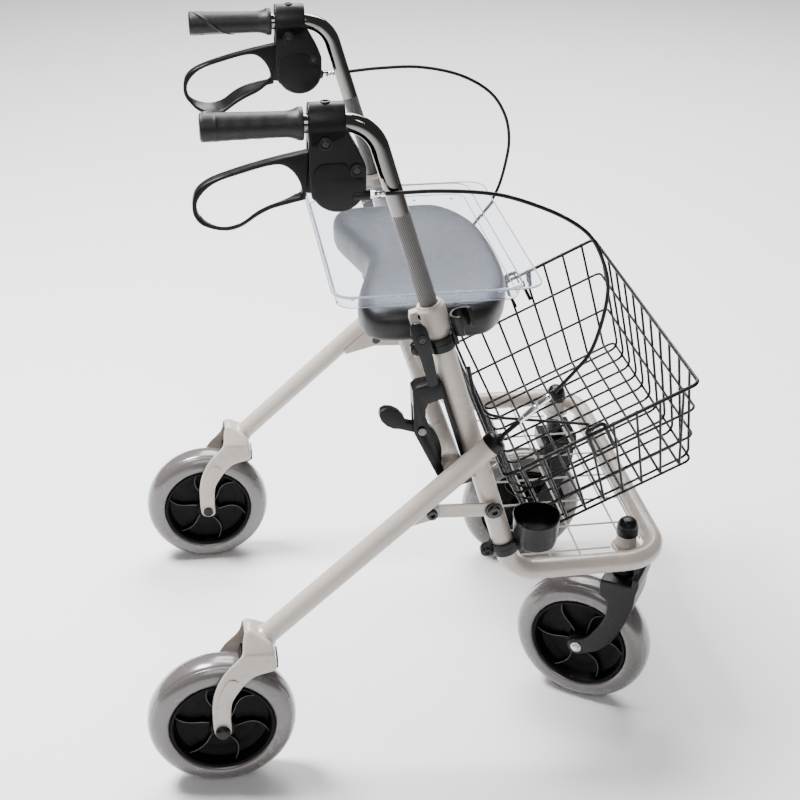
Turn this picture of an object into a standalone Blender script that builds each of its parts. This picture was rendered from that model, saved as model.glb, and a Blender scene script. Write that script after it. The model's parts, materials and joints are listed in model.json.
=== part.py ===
# Four-wheel rollator as separate solids. Metres, +X to the front, +Y to the left, +Z up.
# The frame rests on z = 0 with the middle of its bounding box over the origin.
import math

import bmesh
import bpy
from mathutils import Matrix, Vector

SIDES = (("right", -1), ("left", 1))

# Fits
GAP = 0.0003
BORE_GAP = 0.0003
SLIDE_GAP = 0.0004

# Front frame: one bent tube, whose uprights lean back
HALF_TRACK = 0.237
LEAN = math.radians(16.8)
UPRIGHT_FOOT_X = 0.2004
UPRIGHT_TOP_Z = 0.668
RAIL_Z = 0.275
FRONT_X = 0.330
TUBE_R = 0.014
TUBE_WALL = 0.0018
RAIL_BEND = 0.042
FRONT_BEND = 0.055
TUBE_SIDES = 12

# Seat crossbar and wire shelf
CROSSBAR_Z = 0.590
CROSSBAR_R = 0.011
SHELF_Z = 0.2675
WIRE_R = 0.0015
SHELF_LINES_X = (0.138, 0.180, 0.222)
SHELF_FRONT_X = FRONT_X - TUBE_R - 0.0005
SHELF_LINES_Y = (0.0, 0.065, 0.130)

# Fold guide, cross tube and latch, measured from the upright's axis: behind it and up along it
CROSS_Z = 0.4644
CROSS_BEHIND = 0.0326
CROSS_R = 0.013
GUIDE_HALF_WIDTH = 0.012
GUIDE_TOP = 0.1235
GUIDE_BOTTOM = -0.030
SLOT_TOP = 0.100
PIN_BEHIND = 0.056
PIN_RISE = 0.065
PIN_R = 0.004
LATCH_HALF_WIDTH = 0.006
LATCH_Y = 0.0025
CHANNEL_HALF_WIDTH = 0.007

# Side stack outside the uprights
GUIDE_OUT = HALF_TRACK + TUBE_R + 0.0005
LINK_IN = GUIDE_OUT + 0.0011
LINK_WALL = 0.0026
BRACKET_IN = LINK_IN + LINK_WALL + 0.0004
BRACKET_WALL = 0.0034
BRACKET_OUT = BRACKET_IN + BRACKET_WALL
WELD_DEPTH = 0.0025

# Rear legs and links
LEG_R = 0.014
LEG_WALL = 0.0018
LEG_SLOPE = math.radians(42.3)
LEG_BELOW = 0.348
LEG_ABOVE = 0.0568
LEG_Y = BRACKET_OUT - WELD_DEPTH + LEG_R
LINK_BOLT_UP = -0.0804
LINK_BOLT_LOW = (0.0776, -0.0522)
LINK_EYE_R = 0.010
BOLT_R = 0.004
UPPER_HEAD_R = 0.012
UPPER_HEAD = 0.0075
LOWER_HEAD_R = 0.0075
LOWER_HEAD = 0.0068
PLUG_R = 0.015
PLUG_LENGTH = 0.015
BARREL_R = 0.0045
BARREL_END = 0.105

# Wheels
WHEEL_R = 0.100
TYRE_HALF = 0.0245
RIM_R = 0.0705
RIM_HALF = 0.0265
HUB_R = 0.0165
AXLE_R = 0.004
WHEEL_STEPS = 24
REAR_AXLE_X = -0.283
FORK_ROOM = 0.0020
FORK_WALL = 0.003
AXLE_HEAD_R = 0.008
AXLE_CAP_R = 0.010

# Rear brake shoe
SHOE_PIVOT = (-0.215, 0.200)
SHOE_GAP = 0.0021
SHOE_HALF = 0.013

# Casters
CASTER_X = FRONT_X - TUBE_R - 0.027
CASTER_INSET = TUBE_R + 0.026
TRAIL = 0.050
CASTER_HEADING = {"right": math.radians(-34.0), "left": 0.0}
STEM_R = 0.0082
SOCKET_BORE_R = 0.0095
SOCKET_R = 0.014
SOCKET_FLANGE_R = 0.0202
SOCKET_LOW = 0.262
SOCKET_HIGH = 0.292
CASTER_WALL = 0.005
CASTER_ROOM = 0.001

# Handles
HANDLE_Z = 0.907
HANDLE_R = 0.011
HANDLE_WALL = 0.0018
HANDLE_BEND = 0.045
HANDLE_END_X = -0.2575
HANDLE_DEPTH = 0.170
GRIP_BACK_X = -0.265
GRIP_FRONT_X = -0.1504
HOUSING_HALF = 0.0185
BRAKE_PIVOT = (-0.1136, 0.8391)
BRAKE_PIN_R = 0.003
BRAKE_SLOT_HALF = 0.010
DRUM_R = 0.022
LEVER_ROOT_R = 0.020
DISC_WALL = 0.008
LEVER_HALF_WIDTH = 0.008
CABLE_SOCKET_Z = 0.8260
CABLE_OUTBOARD = 0.015
CABLE_START_X = -0.0598

# Height collar and clamp lever
COLLAR_LOW = UPRIGHT_TOP_Z - 0.021
COLLAR_HIGH = UPRIGHT_TOP_Z + 0.010
COLLAR_WALL = 0.0042
CLAMP_BEHIND = 0.0215
CLAMP_RISE = -0.0152
CLAMP_PIN_R = 0.0033
CLAMP_HEAD_IN = 0.0198
CLAMP_HEAD_OUT = 0.0248
CLAMP_ARM = 0.0685

# Cane holder on the right upright
CLIP_Z = UPRIGHT_TOP_Z - 0.0415
CUP_BAND_Z = 0.3145
BAND_HEIGHT = 0.0186
BAND_WALL = 0.0042
CLIP_R = 0.010
CLIP_WALL = 0.0045
CUP_BOTTOM_Z = 0.330
CUP_RIM_Z = 0.362

# Seat, tray and basket
SEAT_HALF = HALF_TRACK - 0.049
SEAT_TOP_Z = 0.654
SEAT_WIDEST_Z = 0.628
SEAT_BOTTOM_Z = 0.602
TRAY_HALF = HALF_TRACK - 0.044
TRAY_BACK_X = -0.112
TRAY_FRONT_X = 0.125
TRAY_FLOOR_Z = 0.655
TRAY_RIM_Z = 0.6735
TRAY_WALL = 0.0025
BASKET_BACK = (0.095, 0.432)
BASKET_TILT = math.radians(25.5)
BASKET_LENGTH = 0.2813
BASKET_DEPTH = 0.156
BASKET_RIM_HALF = HALF_TRACK + 0.012
BASKET_FLOOR_HALF = HALF_TRACK - 0.051
BASKET_WALL = 0.003
BAIL_PIVOT = (0.2095, 0.4935)
BAIL_R = 0.002
BAIL_BAR = (0.078, 0.505)

# Brake cables: each route is a list of places along it
CABLE_R = 0.0025
CABLE_ROUTES = {
    "right": (
        (CABLE_START_X, -0.2520, 0.8260), (0.0031, -0.2525, 0.8262), (0.0663, -0.2530, 0.8198),
        (0.1155, -0.2540, 0.8042), (0.1569, -0.2560, 0.7844), (0.1843, -0.2590, 0.7627),
        (0.2006, -0.2615, 0.7324), (0.2088, -0.2640, 0.6992), (0.2049, -0.2665, 0.6595),
        (0.1928, -0.2680, 0.6165), (0.1740, -0.2695, 0.5911), (0.1493, -0.2705, 0.5638)),
    "left": (
        (CABLE_START_X, 0.2520, 0.8260), (-0.0361, 0.2520, 0.8285), (0.0065, 0.2525, 0.8316),
        (0.0656, 0.2530, 0.8310), (0.1256, 0.2540, 0.8168), (0.1723, 0.2560, 0.7890),
        (0.1975, 0.2590, 0.7521), (0.2061, 0.2615, 0.7120), (0.2022, 0.2640, 0.6717),
        (0.1920, 0.2665, 0.6309), (0.1720, 0.2690, 0.5930), (0.1493, 0.2705, 0.5638)),
}
CABLE_STEP = 0.015


# Materials
def paint(name, color, roughness, metallic=0.0):
    material = bpy.data.materials.new(name)
    material.use_nodes = True
    shader = material.node_tree.nodes["Principled BSDF"]
    shader.inputs["Base Color"].default_value = (*color, 1.0)
    shader.inputs["Roughness"].default_value = roughness
    shader.inputs["Metallic"].default_value = metallic
    return material


def make_paints():
    return {
        "frame": paint("frame_paint", (0.74, 0.67, 0.61), 0.35),
        "black": paint("black_plastic", (0.012, 0.012, 0.013), 0.40),
        "housing": paint("charcoal_plastic", (0.040, 0.040, 0.044), 0.45),
        "grip": paint("grip_rubber", (0.018, 0.018, 0.020), 0.65),
        "chrome": paint("bright_steel", (0.60, 0.60, 0.60), 0.18, 1.0),
        "tyre": paint("grey_tyre", (0.30, 0.27, 0.28), 0.70),
        "rim": paint("rim_plastic", (0.015, 0.015, 0.016), 0.25),
        "beige": paint("beige_plastic", (0.62, 0.55, 0.48), 0.45),
        "clear": paint("clear_tray", (0.72, 0.80, 0.86), 0.12),
        "wire": paint("black_wire", (0.015, 0.015, 0.016), 0.35),
        "cushion": paint("seat_foam", (0.020, 0.020, 0.021), 0.60),
        "pin": paint("grey_plastic", (0.30, 0.30, 0.31), 0.50),
    }


# Objects
def clear_scene():
    for item in list(bpy.data.objects):
        bpy.data.objects.remove(item, do_unlink=True)


def add_object(name, data, material):
    item = bpy.data.objects.new(name, data)
    bpy.context.scene.collection.objects.link(item)
    if material is not None:
        data.materials.clear()
        data.materials.append(material)
    return item


def finish(name, bm, material=None, matrix=None):
    """Close a bmesh as an object with outward faces, smooth where it is round."""
    if matrix is not None:
        bm.transform(matrix)
    bmesh.ops.recalc_face_normals(bm, faces=bm.faces)
    if bm.calc_volume(signed=True) < 0:
        bmesh.ops.reverse_faces(bm, faces=bm.faces)
    mesh = bpy.data.meshes.new(name)
    bm.to_mesh(mesh)
    bm.free()
    mesh.shade_smooth()
    mesh.set_sharp_from_angle(angle=math.radians(35.0))
    return add_object(name, mesh, material)


def apply_modifiers(item):
    graph = bpy.context.evaluated_depsgraph_get()
    solid = bpy.data.meshes.new_from_object(item.evaluated_get(graph))
    item.modifiers.clear()
    item.data = solid


def combine(item, tool, operation):
    step = item.modifiers.new(operation.lower(), "BOOLEAN")
    step.operation = operation
    step.solver = "EXACT"
    step.object = tool
    apply_modifiers(item)
    bpy.data.objects.remove(tool, do_unlink=True)
    return item


def join(item, *tools):
    for tool in tools:
        combine(item, tool, "UNION")
    return item


def cut(item, *tools):
    for tool in tools:
        combine(item, tool, "DIFFERENCE")
    return item


def pivot(name, location, heading=0.0, parent=None):
    """Empty on a joint's axis, which carries the pieces of a moving body."""
    empty = bpy.data.objects.new(name, None)
    empty.empty_display_size = 0.03
    bpy.context.scene.collection.objects.link(empty)
    world = Matrix.Translation(location) @ Matrix.Rotation(heading, 4, "Z")
    empty.parent = parent
    bpy.context.view_layer.update()
    if parent is not None:
        world = parent.matrix_world.inverted() @ world
    empty.matrix_basis = world
    bpy.context.view_layer.update()
    return empty


def hang(carrier, *items):
    """Parent pieces modelled in world places to the empty of their joint."""
    for item in items:
        item.data.transform(carrier.matrix_world.inverted())
        item.parent = carrier


def ride(carrier, item, local):
    """Parent a piece modelled about its own centre, at a place in the carrier's frame."""
    item.location = local
    item.parent = carrier


# Outlines
def arc(centre, radius, start, end, steps):
    points = []
    for i in range(steps + 1):
        angle = math.radians(start + (end - start) * i / steps)
        points.append((centre[0] + radius * math.cos(angle), centre[1] + radius * math.sin(angle)))
    return points


def rounded_box(x_low, x_high, half, radius, steps=4):
    """Rectangle in X and Y with round corners."""
    low_x, high_x, side = x_low + radius, x_high - radius, half - radius
    points = []
    for corner, start in (((high_x, side), 0), ((low_x, side), 90), ((low_x, -side), 180),
                          ((high_x, -side), 270)):
        points += arc(corner, radius, start, start + 90, steps)
    return points


def smooth_loop(points, steps):
    """Closed curve through the points, evenly divided between each two."""
    count = len(points)
    curve = []
    for i in range(count):
        before, here, there, after = (Vector(points[(i + k) % count]) for k in (-1, 0, 1, 2))
        for k in range(steps):
            t = k / steps
            curve.append(0.5 * (2 * here + (there - before) * t
                                + (2 * before - 5 * here + 4 * there - after) * t * t
                                + (3 * here - before - 3 * there + after) * t * t * t))
    return curve


def smooth_line(points, spacing):
    """Open curve through the points, resampled at even spacing."""
    places = [Vector(point) for point in points]
    places = [2 * places[0] - places[1]] + places + [2 * places[-1] - places[-2]]
    fine = []
    for before, here, there, after in zip(places, places[1:], places[2:], places[3:]):
        for k in range(20):
            t = k / 20
            fine.append(0.5 * (2 * here + (there - before) * t
                               + (2 * before - 5 * here + 4 * there - after) * t * t
                               + (3 * here - before - 3 * there + after) * t * t * t))
    fine.append(places[-2])
    lengths = [0.0]
    for here, there in zip(fine, fine[1:]):
        lengths.append(lengths[-1] + (there - here).length)
    count = max(2, round(lengths[-1] / spacing))
    line = []
    k = 0
    for i in range(count + 1):
        target = lengths[-1] * i / count
        while k < len(fine) - 2 and lengths[k + 1] < target:
            k += 1
        share = (target - lengths[k]) / (lengths[k + 1] - lengths[k])
        line.append(fine[k].lerp(fine[k + 1], min(share, 1.0)))
    return line


def bent_path(corners, radii, turn=math.radians(22.0)):
    """Centre line of a tube through its corners, each bent to its own radius."""
    corners = [Vector(corner) for corner in corners]
    path = [corners[0]]
    for before, corner, after, radius in zip(corners, corners[1:], corners[2:], radii):
        into = (corner - before).normalized()
        out = (after - corner).normalized()
        angle = into.angle(out)
        centre = corner + (out - into).normalized() * radius / math.cos(angle / 2)
        start = corner - into * radius * math.tan(angle / 2) - centre
        axis = into.cross(out)
        steps = max(2, round(angle / turn))
        for i in range(steps + 1):
            path.append(centre + Matrix.Rotation(angle * i / steps, 3, axis) @ start)
    path.append(corners[-1])
    return path


# Solids
def slab(name, outline, low, high, material=None, matrix=None, holes=(), flat="XZ"):
    """Plate with an outline in X and Z (or X and Y), between two places on the third axis."""
    bm = bmesh.new()
    edges = []
    for loop in (outline, *holes):
        if flat == "XZ":
            verts = [bm.verts.new((x, low, z)) for x, z in loop]
        else:
            verts = [bm.verts.new((x, y, low)) for x, y in loop]
        for here, there in zip(verts, verts[1:] + verts[:1]):
            edges.append(bm.edges.new((here, there)))
    bmesh.ops.triangle_fill(bm, use_beauty=True, use_dissolve=False, edges=edges)
    made = bmesh.ops.extrude_face_region(bm, geom=list(bm.faces))
    moved = [part for part in made["geom"] if isinstance(part, bmesh.types.BMVert)]
    shift = (0, high - low, 0) if flat == "XZ" else (0, 0, high - low)
    bmesh.ops.translate(bm, verts=moved, vec=shift)
    return finish(name, bm, material, matrix)


def turned(name, profile, steps, material=None, matrix=None, hollow=True):
    """Profile of radius and height spun about Z. A solid one starts and ends on the axis."""
    bm = bmesh.new()
    verts = [bm.verts.new((radius, 0, height)) for radius, height in profile]
    pairs = list(zip(verts, verts[1:]))
    if hollow:
        pairs.append((verts[-1], verts[0]))
    edges = [bm.edges.new(pair) for pair in pairs]
    bmesh.ops.spin(bm, geom=verts + edges, cent=(0, 0, 0), axis=(0, 0, 1),
                   angle=2 * math.pi, steps=steps, use_merge=True)
    bmesh.ops.remove_doubles(bm, verts=bm.verts, dist=1e-6)
    return finish(name, bm, material, matrix)


def loft(name, rings, material=None, matrix=None):
    """Skin over rings of equal count, closed by the first and the last."""
    bm = bmesh.new()
    loops = [[bm.verts.new(point) for point in ring] for ring in rings]
    for low, high in zip(loops, loops[1:]):
        for i in range(len(low)):
            bm.faces.new((low[i - 1], low[i], high[i], high[i - 1]))
    bm.faces.new(loops[0])
    bm.faces.new(loops[-1])
    return finish(name, bm, material, matrix)


def rod(name, start, end, radius, sides=16, material=None):
    start, end = Vector(start), Vector(end)
    way = end - start
    matrix = Matrix.Translation((start + end) / 2) @ way.to_track_quat("Z", "Y").to_matrix().to_4x4()
    bm = bmesh.new()
    bmesh.ops.create_cone(bm, cap_ends=True, segments=sides, radius1=radius, radius2=radius,
                          depth=way.length)
    return finish(name, bm, material, matrix)


def across(name, place, low, high, radius, sides=16, material=None):
    """Round bar along Y through a place in X and Z."""
    return rod(name, (place[0], low, place[1]), (place[0], high, place[1]), radius, sides, material)


def block(name, low, high, material=None, matrix=None):
    bm = bmesh.new()
    bmesh.ops.create_cube(bm, size=1.0)
    size = [b - a for a, b in zip(low, high)]
    middle = [(a + b) / 2 for a, b in zip(low, high)]
    bmesh.ops.scale(bm, verts=bm.verts, vec=size)
    bmesh.ops.translate(bm, verts=bm.verts, vec=middle)
    return finish(name, bm, material, matrix)


def swept(name, path, radius, sides=TUBE_SIDES, material=None, capped=True):
    """Round bar along a path, as a bevelled curve turned into a mesh."""
    curve = bpy.data.curves.new(name, "CURVE")
    curve.dimensions = "3D"
    curve.bevel_depth = radius
    curve.bevel_resolution = (sides - 4) // 2
    curve.use_fill_caps = capped
    line = curve.splines.new("POLY")
    line.points.add(len(path) - 1)
    for point, place in zip(line.points, path):
        point.co = (*place, 1.0)
    item = add_object(name, curve, material)
    graph = bpy.context.evaluated_depsgraph_get()
    mesh = bpy.data.meshes.new_from_object(item.evaluated_get(graph))
    bpy.data.objects.remove(item, do_unlink=True)
    mesh.shade_smooth()
    mesh.set_sharp_from_angle(angle=math.radians(40.0))
    return add_object(name, mesh, material)


def bent_tube(name, path, radius, wall, material):
    """Hollow tube along a path, open at both ends."""
    item = swept(name, path, radius, TUBE_SIDES, material, capped=False)
    skin = item.modifiers.new("wall", "SOLIDIFY")
    skin.thickness = wall
    skin.offset = -1.0
    apply_modifiers(item)
    return item


# Places along the leaning upright
def upright_x(height):
    return UPRIGHT_FOOT_X - math.tan(LEAN) * height


def lean_frame(height, y=0.0):
    """Frame on the upright's axis: Z along the upright, X to the front across it."""
    return Matrix.Translation((upright_x(height), y, height)) @ Matrix.Rotation(-LEAN, 4, "Y")


GUIDE_FRAME = lean_frame(CROSS_Z)


def beside(points):
    """Guide places, as behind and above, turned into the guide frame's X and Z."""
    return [(-behind, rise) for behind, rise in points]


def guide_place(behind, rise):
    """World X and Z of a guide place."""
    spot = GUIDE_FRAME @ Vector((-behind, 0, rise))
    return spot.x, spot.z


def spans(side, low, high):
    """Two places on Y at one side, in rising order."""
    return min(side * low, side * high), max(side * low, side * high)


CROSS_CENTRE = guide_place(CROSS_BEHIND, 0.0)
LINK_TOP = guide_place(0.0, LINK_BOLT_UP)
LINK_LOW = guide_place(*LINK_BOLT_LOW)
LATCH_PIN = guide_place(PIN_BEHIND, PIN_RISE)


def leg_place(along, below=0.0):
    """World X and Z on the leg's axis, from the cross tube up along it and down across it."""
    return (CROSS_CENTRE[0] + along * math.cos(LEG_SLOPE) + below * math.sin(LEG_SLOPE),
            CROSS_CENTRE[1] + along * math.sin(LEG_SLOPE) - below * math.cos(LEG_SLOPE))


def leg_point(side, along):
    x, z = leg_place(along)
    return Vector((x, side * LEG_Y, z))


# Front frame
def frame_path():
    top_x, foot_x = upright_x(UPRIGHT_TOP_Z), upright_x(RAIL_Z)
    corners = [(top_x, -HALF_TRACK, UPRIGHT_TOP_Z), (foot_x, -HALF_TRACK, RAIL_Z),
               (FRONT_X, -HALF_TRACK, RAIL_Z)]
    corners += [(x, -y, z) for x, y, z in reversed(corners)]
    return bent_path(corners, (RAIL_BEND, FRONT_BEND, FRONT_BEND, RAIL_BEND))


def make_front_tube(paints):
    tube = bent_tube("front_frame_tube", frame_path(), TUBE_R, TUBE_WALL, paints["frame"])
    for side in (-1, 1):
        inside = side * (HALF_TRACK + TUBE_R / 2)
        cut(tube, across("bolt_bore", LINK_TOP, inside, side * GUIDE_OUT, BOLT_R + BORE_GAP))
    return tube


def make_crossbar(paints):
    reach = HALF_TRACK - TUBE_R - GAP
    x = upright_x(CROSSBAR_Z)
    path = [Vector((x, -reach, CROSSBAR_Z)), Vector((x, reach, CROSSBAR_Z))]
    return bent_tube("seat_crossbar", path, CROSSBAR_R, TUBE_WALL, paints["frame"])


def make_shelf(paints):
    """Welded wires: those across lie on those along, sunk a little into them."""
    upper = SHELF_Z + WIRE_R * 0.8
    lower = SHELF_Z - WIRE_R * 0.8
    drop = RAIL_Z - upper - WIRE_R
    side_reach = HALF_TRACK - math.sqrt(TUBE_R ** 2 - drop ** 2) - GAP
    socket_x = CASTER_X - SOCKET_FLANGE_R - GAP
    socket_y = HALF_TRACK - CASTER_INSET - SOCKET_FLANGE_R - GAP
    bars = []
    for x in SHELF_LINES_X:
        bars.append(((x, -side_reach, upper), (x, side_reach, upper)))
    bars.append(((SHELF_FRONT_X, -socket_y, upper), (SHELF_FRONT_X, socket_y, upper)))
    bars.append(((CASTER_X, -socket_y, upper), (CASTER_X, socket_y, upper)))
    rear_x = SHELF_LINES_X[0] - WIRE_R
    for y in SHELF_LINES_Y:
        for side in {y, -y}:
            bars.append(((rear_x, side, lower), (SHELF_FRONT_X + WIRE_R / 2, side, lower)))
    for side in (-1, 1):
        y = side * (HALF_TRACK - CASTER_INSET - 0.007)
        bars.append(((rear_x, y, lower), (socket_x, y, lower)))
    grid = None
    for low, high in bars:
        wire = block("shelf_grid", [min(a, b) - WIRE_R * (a == b) for a, b in zip(low, high)],
                     [max(a, b) + WIRE_R * (a == b) for a, b in zip(low, high)], paints["beige"])
        grid = wire if grid is None else join(grid, wire)
    return grid


def make_socket(name, side, paints):
    flange_low, flange_high = SOCKET_LOW + 0.008, SOCKET_LOW + 0.011
    profile = [(SOCKET_BORE_R, SOCKET_LOW), (SOCKET_R, SOCKET_LOW), (SOCKET_R, flange_low),
               (SOCKET_FLANGE_R, flange_low), (SOCKET_FLANGE_R, flange_high), (SOCKET_R, flange_high),
               (SOCKET_R, SOCKET_HIGH), (SOCKET_BORE_R, SOCKET_HIGH)]
    place = Matrix.Translation((CASTER_X, side * (HALF_TRACK - CASTER_INSET), 0))
    return turned("caster_socket_" + name, profile, 16, paints["beige"], place)


# Fold guides and latch
def make_guide(name, side, paints):
    front = TUBE_R + GAP
    slot_front = CROSS_BEHIND - CROSS_R - SLIDE_GAP
    slot_rear = CROSS_BEHIND + CROSS_R + SLIDE_GAP
    outline = beside([
        (front, GUIDE_BOTTOM), (front, GUIDE_TOP), (slot_rear - 0.002, GUIDE_TOP + 0.0035),
        (slot_rear + 0.0056, GUIDE_TOP), (PIN_BEHIND + 0.0103, PIN_RISE), (slot_rear + 0.010, -0.004),
        (slot_rear + 0.004, -0.018), (slot_rear - 0.011, GUIDE_BOTTOM)])
    slot = beside([(slot_front, SLOT_TOP), (slot_rear - 0.008, SLOT_TOP),
                   (slot_rear - 0.003, SLOT_TOP - 0.006),
                   (slot_rear, SLOT_TOP - 0.016)])
    slot += beside(arc((CROSS_BEHIND, 0.0), CROSS_R + SLIDE_GAP, 0, -180, 10))
    hole = beside(arc((PIN_BEHIND, PIN_RISE), PIN_R + BORE_GAP, 0, 337.5, 15))
    low, high = spans(side, GUIDE_OUT - 2 * GUIDE_HALF_WIDTH, GUIDE_OUT)
    holes = (slot, hole) if side < 0 else (slot,)
    guide = slab("fold_guide_" + name, outline, low, high, paints["black"], GUIDE_FRAME, holes)
    if side < 0:
        channel_low, channel_high = spans(side, HALF_TRACK + LATCH_Y - CHANNEL_HALF_WIDTH,
                                          HALF_TRACK + LATCH_Y + CHANNEL_HALF_WIDTH)
        channel = block("channel", (-0.080, channel_low, -0.002), (-slot_rear + 0.004, channel_high, 0.101),
                        matrix=GUIDE_FRAME)
        cut(guide, channel)
    return guide


def latch_outline():
    """Nose in the slot, hub on the pin and an oval thumb paddle behind."""
    nose = [(CROSS_R + out, up) for out, up in (
        (0.0333, 0.006), (0.0292, 0.017), (0.0266, 0.028), (0.0259, 0.040), (0.0269, 0.050), (0.0295, 0.059))]
    hub = arc((PIN_BEHIND, PIN_RISE), 0.0085, 175, 62, 4)
    paddle_centre, along, wide = (0.0862, 0.0915), math.radians(55.6), 0.012
    paddle = []
    for turn in range(150, -151, -30):
        forward = 0.0195 * math.cos(math.radians(turn))
        aside = wide * math.sin(math.radians(turn))
        paddle.append((paddle_centre[0] + forward * math.cos(along) - aside * math.sin(along),
                       paddle_centre[1] + forward * math.sin(along) + aside * math.cos(along)))
    back = [(0.0645, 0.0620), (0.0605, 0.0575), (CROSS_R + 0.0390, 0.045), (CROSS_R + 0.0370, 0.020)]
    return beside(nose + hub + paddle + back)


def make_latch(paints):
    low, high = spans(-1, HALF_TRACK + LATCH_Y - LATCH_HALF_WIDTH, HALF_TRACK + LATCH_Y + LATCH_HALF_WIDTH)
    hole = beside(arc((PIN_BEHIND, PIN_RISE), PIN_R + BORE_GAP, 0, 337.5, 15))
    return slab("latch_lever", latch_outline(), low, high, paints["black"], GUIDE_FRAME, (hole,))


def make_latch_pin(paints):
    head = GUIDE_OUT + GAP
    pin = across("latch_pin", LATCH_PIN, -(GUIDE_OUT - 2 * GUIDE_HALF_WIDTH - 0.001), -head - 0.001, PIN_R,
                 material=paints["pin"])
    return join(pin, across("head", LATCH_PIN, -head, -head - 0.0026, PIN_R + 0.0025))


# Rear frame
def make_cross_tube(paints):
    reach = LEG_Y - LEG_R - GAP
    x, z = CROSS_CENTRE
    path = [Vector((x, -reach, z)), Vector((x, reach, z))]
    return bent_tube("rear_cross_tube", path, CROSS_R, TUBE_WALL, paints["frame"])


def bracket_outline():
    """Plate under the leg that reaches down round the lower link bolt."""
    away = Vector(LINK_LOW) - Vector(CROSS_CENTRE)
    direction = Vector((math.cos(LEG_SLOPE), math.sin(LEG_SLOPE)))
    along = away.dot(direction)
    below = (away - along * direction).length
    eye = arc((along, -below), LINK_EYE_R + 0.001, 20, -200, 10)
    corners = [(along - 0.026, -0.012), (along - 0.026, -0.006), (along + 0.026, -0.006),
               (along + 0.026, -0.012)]
    return [leg_place(a, -b) for a, b in corners + eye]


def make_leg(name, side, paints):
    leg = bent_tube("rear_leg_" + name, [leg_point(side, -LEG_BELOW), leg_point(side, LEG_ABOVE)],
                    LEG_R, LEG_WALL, paints["frame"])
    low, high = spans(side, BRACKET_IN, BRACKET_OUT)
    hole = arc(LINK_LOW, BOLT_R + BORE_GAP, 0, 330, 11)
    return join(leg, slab("bracket", bracket_outline(), low, high, holes=(hole,)))


def leg_frame(side, along):
    """Frame on the leg's axis with Z up along it."""
    tilt = Matrix.Rotation(math.pi / 2 - LEG_SLOPE, 4, "Y")
    return Matrix.Translation(leg_point(side, along)) @ tilt


def make_leg_plug(name, side, paints):
    """Plug in the leg's top with the cable's metal barrel standing on it."""
    inner = LEG_R - LEG_WALL - 0.0008
    profile = [(0.0, -0.016), (inner, -0.016), (inner, GAP), (PLUG_R, GAP), (PLUG_R, PLUG_LENGTH - 0.003),
               (PLUG_R - 0.004, PLUG_LENGTH), (BARREL_R + 0.001, PLUG_LENGTH + 0.001), (0.0032, 0.030),
               (0.0032, 0.050), (BARREL_R, 0.051), (BARREL_R, BARREL_END - LEG_ABOVE + 0.0505),
               (0.0, BARREL_END - LEG_ABOVE + 0.0505)]
    return turned("leg_plug_" + name, profile, 14, paints["black"], leg_frame(side, LEG_ABOVE), hollow=False)


def make_link(name, side, paints):
    """Flat bar from the upright's bolt to the bracket's bolt, open at the lower one."""
    top, low_end = Vector(LINK_TOP), Vector(LINK_LOW)
    angle = math.degrees(math.atan2(low_end.y - top.y, low_end.x - top.x))
    outline = arc(LINK_TOP, LINK_EYE_R, angle + 90, angle + 270, 8)
    outline += arc(LINK_LOW, LINK_EYE_R, angle - 90, angle + 90, 8)
    holes = [arc(place, BOLT_R + BORE_GAP, 0, 330, 11) for place in (LINK_TOP, LINK_LOW)]
    low, high = spans(side, LINK_IN, LINK_IN + LINK_WALL)
    return slab("link_" + name, outline, low, high, paints["frame"], holes=holes)


def make_upper_bolt(name, side, paints):
    head = LINK_IN + LINK_WALL + GAP
    bolt = across("link_bolt_upper_" + name, LINK_TOP, side * (HALF_TRACK + TUBE_R / 2 + 0.001),
                  side * (head + 0.001), BOLT_R, 12, paints["black"])
    return join(bolt, across("head", LINK_TOP, side * head, side * (head + UPPER_HEAD), UPPER_HEAD_R, 18))


def make_lower_bolt(name, side, paints):
    head = BRACKET_OUT + GAP
    bolt = across("link_bolt_lower_" + name, LINK_LOW, side * (BRACKET_IN + 0.0001), side * (head + 0.001),
                  BOLT_R, 12, paints["black"])
    return join(bolt, across("head", LINK_LOW, side * head, side * (head + LOWER_HEAD), LOWER_HEAD_R, 14))


def rear_fork_outline():
    rear = [(-0.2912, 0.0905), (-0.2948, 0.0988), (-0.2958, 0.1199), (-0.2941, 0.1507), (-0.2864, 0.1763),
            (-0.2743, 0.1990), (-0.2609, 0.2173), (-0.2560, 0.2380), (-0.2510, 0.2587), (-0.2399, 0.2594)]
    front = [(-0.2248, 0.2440), (-0.2148, 0.2337), (-0.2140, 0.2118), (-0.2095, 0.2060), (-0.2075, 0.2000),
             (-0.2095, 0.1945), (-0.2150, 0.1920), (-0.2355, 0.1863), (-0.2486, 0.1757), (-0.2621, 0.1570),
             (-0.2692, 0.1414), (-0.2712, 0.1167), (-0.2712, 0.0960), (-0.2745, 0.0905), (-0.2830, 0.0875)]
    return rear + front


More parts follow.
